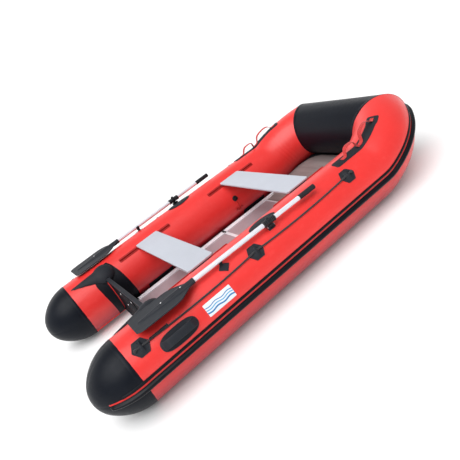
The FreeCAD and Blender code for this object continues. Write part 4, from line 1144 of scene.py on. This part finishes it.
RPH = RAD(128)
lst = []
for sd in (1, -1):
    for x0, x1 in ((0.424, 0.903), (1.303, 1.792)):
        # foot tape, then the standing edge with its welt; both ends die away
        sv = np.linspace(x0, x1, 90)
        k = np.clip(np.minimum(sv - x0, x1 - sv) / 0.012, 0, 1)
        k = np.sqrt(k * (2 - k))
        sec = [(-5.0, 0.0002), (-4.8, 0.0010), (-1.4, 0.0012), (-0.9, 0.0020), (-0.55, 0.0060), (-0.62, 0.0078), (-0.80, 0.0098), (-0.62, 0.0122), (0.0, 0.0132),
               (0.62, 0.0122), (0.80, 0.0098), (0.62, 0.0078), (0.55, 0.0060), (0.9, 0.0020), (1.4, 0.0012), (4.8, 0.0010), (5.0, 0.0002)]
        rows = []
        for s, kk in zip(sv, k):
            ph_ = np.array([RPH + RAD(a) * (0.75 + 0.25 * kk) for a, _ in sec])
            rr_ = np.array([R + 0.0002 + h * (0.12 + 0.88 * kk) for _, h in sec])
            rows.append(tp(np.full(len(sec), s), ph_, rr_, sd))
        lst.append(link("sr", grid_mesh("sr", np.array(rows), wrap=True, cap0=True, cap1=True, deg=60)))
# the rail tapes take the half-bright red, a painted shade along the rails
put(joined("seat_rail_tapes", lst), M_RAILT, "seat_rails")

# ------------------------------------------------------------------ grab strips and webbing loops
GPH = RAD(80)
GS0, GS1 = 1.746, S_RISE + R_TURN * RAD(28)
GC = (GS0 + GS1) / 2
GH = (GS1 - GS0) / 2
V_ = RAD(9.5) * R
GOUT = [(-GH, -0.5 * V_), (-GH + 0.014, -V_), (GH - 0.01, -V_), (GH, -0.7 * V_), (GH, 0.7 * V_), (GH - 0.012, V_), (-GH + 0.014, V_), (-GH, 0.5 * V_)]


def strip_h(x, v):
    d = np.minimum(V_ - np.abs(v), GH - np.abs(x))
    return 0.0040 + groove(d, 0.007, 0.0011, 0.0011)


lst = []
for sd in (1, -1):
    # long narrow patch: rows across, columns along
    sv = GC + np.linspace(-GH, GH, 130)
    vv = np.array([-1, -0.985, -0.93, -0.80, -0.74, -0.68, -0.5, -0.25, 0, 0.25, 0.5, 0.68, 0.74, 0.80, 0.93, 0.985, 1])
    rows = []
    for s in sv:
        e = min(s - GS0, GS1 - s)
        wk = 1 - 0.30 * max(0.0, 1 - e / 0.014) ** 2 + 0.22 / (1 + math.exp(-(s - GS1 + 0.075) / 0.006))
        hk = min(1.0, e / 0.002 + 0.08)
        v = vv * V_ * wk
        h = strip_h(s - GC + 0 * v, v) * hk
        h[0] = h[-1] = 0.0002
        h[1] = h[-2] = 0.0022 * hk
        rows.append(tp(np.full(len(v), s), GPH + v / R, R + np.maximum(h, 0.0002), sd))
    lst.append(link("gs", grid_mesh("gs", np.array(rows), wrap=True, cap0=True, cap1=True, deg=55)))
put(joined("grab_strip_mouldings", lst), M_PATCH, "grab_strips")


def strap_loop(sd, s0, ch, name, lean):
    ctrl = [(-ch - 0.034, 0.0056, 0), (-ch - 0.004, 0.0056, 0), (-ch + 0.006, 0.012, 0.1), (-0.74 * ch, 0.044, 0.7), (-0.42 * ch, 0.0585, 1.0), (0.38 * ch, 0.0565, 1.0), (0.76 * ch, 0.041, 0.7), (ch - 0.006, 0.012, 0.1), (ch + 0.004, 0.0056, 0), (ch + 0.034, 0.0056, 0)]
    q = smooth_path(ctrl, 96, 3)
    ph_ = GPH + RAD(lean) * q[:, 2]
    C = tp(s0 + q[:, 0], ph_, R + q[:, 1], sd)
    W = tp(s0 + q[:, 0], ph_ + 0.02, R + q[:, 1], sd) - tp(s0 + q[:, 0], ph_ - 0.02, R + q[:, 1], sd)
    W /= np.linalg.norm(W, axis=1)[:, None]
    T = np.gradient(C, axis=0)
    T /= np.linalg.norm(T, axis=1)[:, None]
    tw = 0.15 * q[:, 2] * np.sin(np.linspace(0, math.pi, len(q)))
    Nn = np.cross(T, W)
    W2 = W * np.cos(tw)[:, None] + Nn * np.sin(tw)[:, None]
    W2 -= T * np.sum(W2 * T, axis=1)[:, None]
    W2 /= np.linalg.norm(W2, axis=1)[:, None]
    N2 = np.cross(T, W2)
    return ribbon(name, C, W2, N2, 0.0135, 0.0013, corner=0.35)


lst, st = [], []
for sd in (1, -1):
    for s0, ch in ((1.930, 0.078), (2.174, 0.086)):
        lst.append(strap_loop(sd, s0, ch, "lp", 5.0))
        # boxed stitching on each foot
        for e in (-1, 1):
            a0, a1 = s0 + e * (ch + 0.006), s0 + e * (ch + 0.031)
            for (sa_, va), (sb_, vb) in (((a0, -0.008), (a1, -0.008)), ((a1, -0.008), (a1, 0.008)), ((a1, 0.008), (a0, 0.008)), ((a0, 0.008), (a0, -0.008)), ((a0, -0.008), (a1, 0.008)), ((a0, 0.008), (a1, -0.008))):
                t = np.linspace(0, 1, 26)
                ss, vv_ = sa_ + (sb_ - sa_) * t, va + (vb - va) * t
                hh = 0.00705 + 0.0004 * np.sin(t * math.pi * 2 * 7)
                st.append(tube_obj("stt", tp(ss, GPH + vv_ / R, R + hh, sd), 0.0006, n=6))
put(joined("grab_loop_straps", lst), M_WEB, "grab_loops")
put(joined("grab_loop_stitching", st), M_REDT, None, "hull")

# ------------------------------------------------------------------ oars
LX, OZ, YAW = 1.108, 0.452, RAD(2.0)
SHY = 0.688386


def op_(u, v, w_, sd):
    u, v, w_ = np.broadcast_arrays(np.asarray(u, float), np.asarray(v, float), np.asarray(w_, float))
    x = LX + u * math.cos(YAW) - v * math.sin(YAW)
    y = SHY + u * math.sin(YAW) + v * math.cos(YAW)
    return np.stack([x - CX, sd * y, OZ + w_], -1)


def oar_lathe(prof, sd, name, n=44, zmin=None, cap=True, deg=32):
    a = np.linspace(0, 2 * math.pi, n, endpoint=False)
    rows = []
    for u, r in prof:
        q = op_(u, r * np.cos(a), r * np.sin(a), sd)
        if zmin is not None:
            q = q.copy()
            q[:, 2] = np.maximum(q[:, 2], zmin)
        rows.append(q)
    return link(name, grid_mesh(name, np.array(rows), wrap=True, cap0=cap, cap1=cap, deg=deg))


BL = [(-0.990, 0.078), (-0.978, 0.092), (-0.962, 0.099), (-0.930, 0.102), (-0.735, 0.102), (-0.690, 0.090), (-0.650, 0.062), (-0.618, 0.036), (-0.590, 0.022), (-0.570, 0.0182)]


def blade_mesh(sd, name):
    us = np.unique(np.concatenate([np.linspace(-0.990, -0.975, 8), np.linspace(-0.975, -0.575, 110), np.linspace(-0.575, -0.570, 3)]))
    b = np.array(BL)
    wv = np.interp(us, b[:, 0], b[:, 1])
    for _ in range(4):
        wv[1:-1] = 0.5 * wv[1:-1] + 0.25 * (wv[2:] + wv[:-2])
    t = np.sort(np.concatenate([np.linspace(-1, 1, 47), [-0.99, -0.975, 0.975, 0.99], np.linspace(-0.16, 0.16, 14)]))
    top = []
    for u, w_ in zip(us, wv):
        v = t * w_
        av = np.abs(v)
        e = w_ - av
        endd = min(u + 0.990, 1.0)
        edge = np.sqrt(np.clip(1 - (1 - np.clip(np.minimum(e, endd + 0.0) / 0.003, 0, 1)) ** 2, 0, 1))
        rim = 0.0030
        inner = 0.0021
        k = 1 / (1 + np.exp(-(np.minimum(e, endd) - 0.0075) / 0.0009))
        base = (rim + (inner - rim) * k) * edge
        # nib shaped plateau running out from the neck
        pw = np.interp(u, [-0.90, -0.74, -0.66, -0.60, -0.57], [0.0, 0.030, 0.036, 0.026, 0.018])
        if pw > 0:
            base = base + 0.0026 / (1 + np.exp((av - pw) / 0.0011)) * min(1.0, (u + 0.90) / 0.05)
        r_ = 0.018 if u >= -0.735 else 0.006 + 0.012 * (u + 0.950) / 0.215
        if u > -0.950 and r_ > 0.003:
            sp = np.sqrt(np.clip(r_ ** 2 - np.minimum(av, r_) ** 2, 0, None))
            # fillet at the foot of the ridge
            fil = 0.0035 * np.exp(-np.clip(av - r_, 0, None) / 0.004) * (av > r_ * 0.7)
            base = np.maximum(np.maximum(base, sp), (base * 0 + 0.0021) + fil) if u > -0.94 else np.maximum(base, sp)
        top.append(np.minimum(base, 0.0185))
    top = np.array(top)
    V = t[None, :] * wv[:, None]
    U = np.broadcast_to(us[:, None], V.shape)
    up = op_(U, V, top, sd)
    dn = op_(U, V, -top, sd)
    G = np.concatenate([up, dn[:, ::-1]], axis=1)
    return link(name, grid_mesh(name, G, wrap=True, cap0=True, cap1=True, deg=50))


grip_prof = [(0.2500, 0.0147), (0.2510, 0.0160), (0.2525, 0.0168), (0.2570, 0.0168), (0.2580, 0.0158), (0.2600, 0.0158), (0.2610, 0.0167)]
u_ = 0.263
while u_ < 0.366:
    grip_prof += [(u_, 0.0167), (u_ + 0.0012, 0.0158), (u_ + 0.0024, 0.0158), (u_ + 0.0036, 0.0167)]
    u_ += 0.0072
grip_prof += [(0.3715, 0.0168), (0.3770, 0.0168), (0.3795, 0.0160), (0.3808, 0.0138), (0.3810, 0.0080)]
col_prof = [(-0.045, 0.0149), (-0.045, 0.0192), (-0.044, 0.0200), (-0.038, 0.0200), (-0.037, 0.0186), (-0.030, 0.0182), (-0.029, 0.0193), (-0.0255, 0.0193), (-0.0245, 0.0182), (-0.018, 0.0182), (-0.017, 0.0193), (-0.0135, 0.0193), (-0.0125, 0.0184),
            (0.0125, 0.0184), (0.0135, 0.0193), (0.017, 0.0193), (0.018, 0.0182), (0.0245, 0.0182), (0.0255, 0.0193), (0.029, 0.0193), (0.030, 0.0182), (0.037, 0.0186), (0.038, 0.0200), (0.044, 0.0200), (0.045, 0.0192), (0.045, 0.0149)]
for sd, pn in ((1, "port"), (-1, "starboard")):
    put(oar_lathe([(-0.700, 0.0143), (-0.699, 0.0145)] + [(u, 0.0145) for u in np.linspace(-0.690, 0.370, 20)] + [(0.3765, 0.0145), (0.377, 0.0143)], sd, pn + "_oar_shaft_tube", n=48), M_OAR, pn + "_oar_shaft")
    put(oar_lathe(grip_prof, sd, pn + "_oar_grip_sleeve", n=40, deg=35), M_GRIP, pn + "_oar_grip")
    c1 = oar_lathe(col_prof, sd, "c1", n=48, zmin=0.4330)
    a = np.linspace(0, 2 * math.pi, 32, endpoint=False)
    rows = [np.stack([LX - CX + r * np.cos(a), sd * (SHY + r * np.sin(a)), 0 * a + OZ + h], 1) for r, h in ((0.0125, 0.010), (0.0125, 0.0190), (0.0120, 0.0198), (0.0105, 0.0200), (0.0052, 0.0200), (0.0052, 0.010))]
    c2 = link("c2", grid_mesh("c2", np.array(rows), wrap=True, deg=30))
    put(joined(pn + "_oar_collar_clamp", [c1, c2]), M_LOCK, pn + "_oar_collar")
    put(blade_mesh(sd, pn + "_oar_blade_moulding"), M_BLADE, pn + "_oar_blade")
    lst = []
    for u, r_ in ((-0.655, 0.018), (-0.790, 0.006 + 0.012 * 0.160 / 0.215)):
        for e in (1, -1):
            lst.append(bolt(tuple(op_(u, 0.0, e * (r_ + 0.0002), sd)), (0, 0, e), r=0.0055, h=0.0023))
    put(joined(pn + "_oar_blade_rivets", lst), M_STEEL, pn + "_oar_rivets")
    put(soft_copy(pn + "_rowlock_swivel", pn + "_rowlock_swivel_block", 0.0011, iters=4), M_LOCK, pn + "_rowlock_swivel")
    put(bevel_copy(pn + "_rowlock_nut", pn + "_rowlock_nut_knob", 0.0008, seg=2), M_LOCK, pn + "_rowlock_nut")
put(soft_copy("rowlock_bases", "rowlock_base_mouldings", 0.0017, iters=6), M_PATCH, "rowlock_bases")
put(soft_copy("oar_keepers", "oar_keeper_mouldings", 0.0017, iters=5), M_PATCH, "oar_keepers")

# ------------------------------------------------------------------ valves and tow rings
put(soft_copy("valve_bodies", "valve_body_rings", 0.0012, iters=3), M_VALVE, "valve_bodies")
for pn in ("port", "starboard"):
    put(soft_copy(pn + "_valve_cap", pn + "_valve_cap_moulding", 0.0011, iters=3), M_VALVE, pn + "_valve_cap")
    put(soft_copy(pn + "_tow_ring", pn + "_tow_ring_wire", 0.0008, iters=3), M_STEEL, pn + "_tow_ring")
put(soft_copy("tow_ring_patches", "tow_ring_patch_mouldings", 0.0015, iters=5), M_PATCH, "tow_ring_patches")


# short leash and folded red tag below each valve
def tag(sd, s, phi, a, b, turn, name):
    """Small folded fabric tab lying on the tube."""
    u = np.linspace(-a, a, 15)
    v = np.linspace(-b, b, 9)
    U, V_2 = np.meshgrid(u, v, indexing="ij")
    x = U * math.cos(turn) - V_2 * math.sin(turn)
    y = U * math.sin(turn) + V_2 * math.cos(turn)
    hgt = 0.0022 + 0.006 * np.abs(np.sin(U / a * 2.2)) + 0.001 * np.cos(V_2 / b * 2)
    top = tp(s + x, phi + y / R, R + hgt, sd)
    bot = tp(s + x, phi + y / R, R + hgt - 0.0013, sd)
    G = np.concatenate([top, bot[:, ::-1]], axis=1)
    return link(name, grid_mesh(name, G, wrap=True, cap0=True, cap1=True, deg=50))


for sd, pn in ((1, "port"), (-1, "starboard")):
    t_ = np.linspace(0, 1, 30)
    ls = tp(1.468 + 0.004 * np.sin(t_ * 3.0), RAD(177.0) + RAD(14.0) * t_, R + 0.0032 + 0 * t_, sd)
    lst = [tube_obj("ls", ls, 0.0016, n=8), tag(sd, 1.452, RAD(194.0), 0.020, 0.010, 0.5, "t1"), tag(sd, 1.482, RAD(194.5), 0.020, 0.010, -0.6, "t2")]
    put(joined(pn + "_valve_leash_tag", lst), M_RAILT, None, "hull")


# seam tape on the bow section, following both mitres
def mitre_tape(sd, name):
    aa = mitre(PH, R, sd)
    cen = np.array([E3[0] - CX, 0, E3[2]])
    rows = []
    for w_, h in ((0.0, 0.0003), (0.0003, 0.0012), (0.006, 0.0013), (0.026, 0.0012), (0.028, 0.0004)):
        q = aa.copy()
        q[:, 1] -= sd * w_
        d = q - cen
        d[:, 1] = 0
        d /= np.linalg.norm(d, axis=1)[:, None]
        rows.append(q + d * h)
    return link(name, grid_mesh(name, np.array(rows), wrap=True, deg=50))


for sd, pn in ((1, "port"), (-1, "starboard")):
    put(mitre_tape(sd, pn + "_bow_seam_tape"), M_BLK, None, "hull")

# ------------------------------------------------------------------ floor and light
def stage_floor():
    me = mesh("ground", [(-30, -30, 0), (30, -30, 0), (30, 30, 0), (-30, 30, 0)], [(0, 1, 2, 3)])
    o = link("ground", me)
    m, nt, b = new_mat("ground")
    tc = N_(nt, "ShaderNodeTexCoord")
    g = N_(nt, "ShaderNodeTexNoise", i_Scale=1.5, i_Detail=3.0)
    nt.links.new(tc.outputs["Object"], g.inputs["Vector"])
    c = ramp(nt, g.outputs[0], [(0.3, (0.86, 0.86, 0.86)), (0.7, (0.88, 0.88, 0.88))])
    nt.links.new(c, b.inputs["Base Color"])
    nt.links.new(c, b.inputs["Emission Color"])
    b.inputs["Emission Strength"].default_value = 0.10
    b.inputs["Roughness"].default_value = 0.9
    b.inputs["Specular IOR Level"].default_value = 0.0
    me.materials.append(m)


stage_floor()
w = bpy.data.worlds.new("studio")
SC.world = w
w.use_nodes = True
wn = w.node_tree
bg = wn.nodes["Background"]
wtc = wn.nodes.new("ShaderNodeTexCoord")
wsep = wn.nodes.new("ShaderNodeSeparateXYZ")
wn.links.new(wtc.outputs["Generated"], wsep.inputs[0])
wm = wn.nodes.new("ShaderNodeMath")
wm.operation = "MULTIPLY_ADD"
wm.inputs[1].default_value = -0.62
wn.links.new(wsep.outputs[1], wm.inputs[0])
wn.links.new(wsep.outputs[2], wm.inputs[2])
wr = wn.nodes.new("ShaderNodeValToRGB")
for e_, (p_, v_) in zip(wr.color_ramp.elements, ((0.02, 1.12), (0.20, 0.33))):
    e_.position = p_
    e_.color = (v_, v_, v_, 1.0)
wn.links.new(wm.outputs[0], wr.inputs[0])
wn.links.new(wr.outputs[0], bg.inputs[0])
bg.inputs[1].default_value = 1.0


def area(name, loc, target, size, power, color=(1, 1, 1), size_y=None):
    d = bpy.data.lights.new(name, "AREA")
    d.energy = power
    d.color = color
    d.size = size
    if size_y:
        d.shape = "RECTANGLE"
        d.size_y = size_y
    o = bpy.data.objects.new(name, d)
    SC.collection.objects.link(o)
    o.location = loc
    o.rotation_euler = (Vector(target) - Vector(loc)).to_track_quat("-Z", "Y").to_euler()
    return o


sd_ = bpy.data.lights.new("key", "SUN")
sd_.energy = 3.0
sd_.angle = RAD(58)
so_ = bpy.data.objects.new("key", sd_)
SC.collection.objects.link(so_)
so_.rotation_euler = (Vector((0, 0, 0)) - Vector((-0.42, -0.30, 1.0))).to_track_quat("-Z", "Y").to_euler()
area("fill", (-5.0, -4.0, 2.5), (0, 0, 0.2), 4.0, 18, (0.90, 0.95, 1.0))
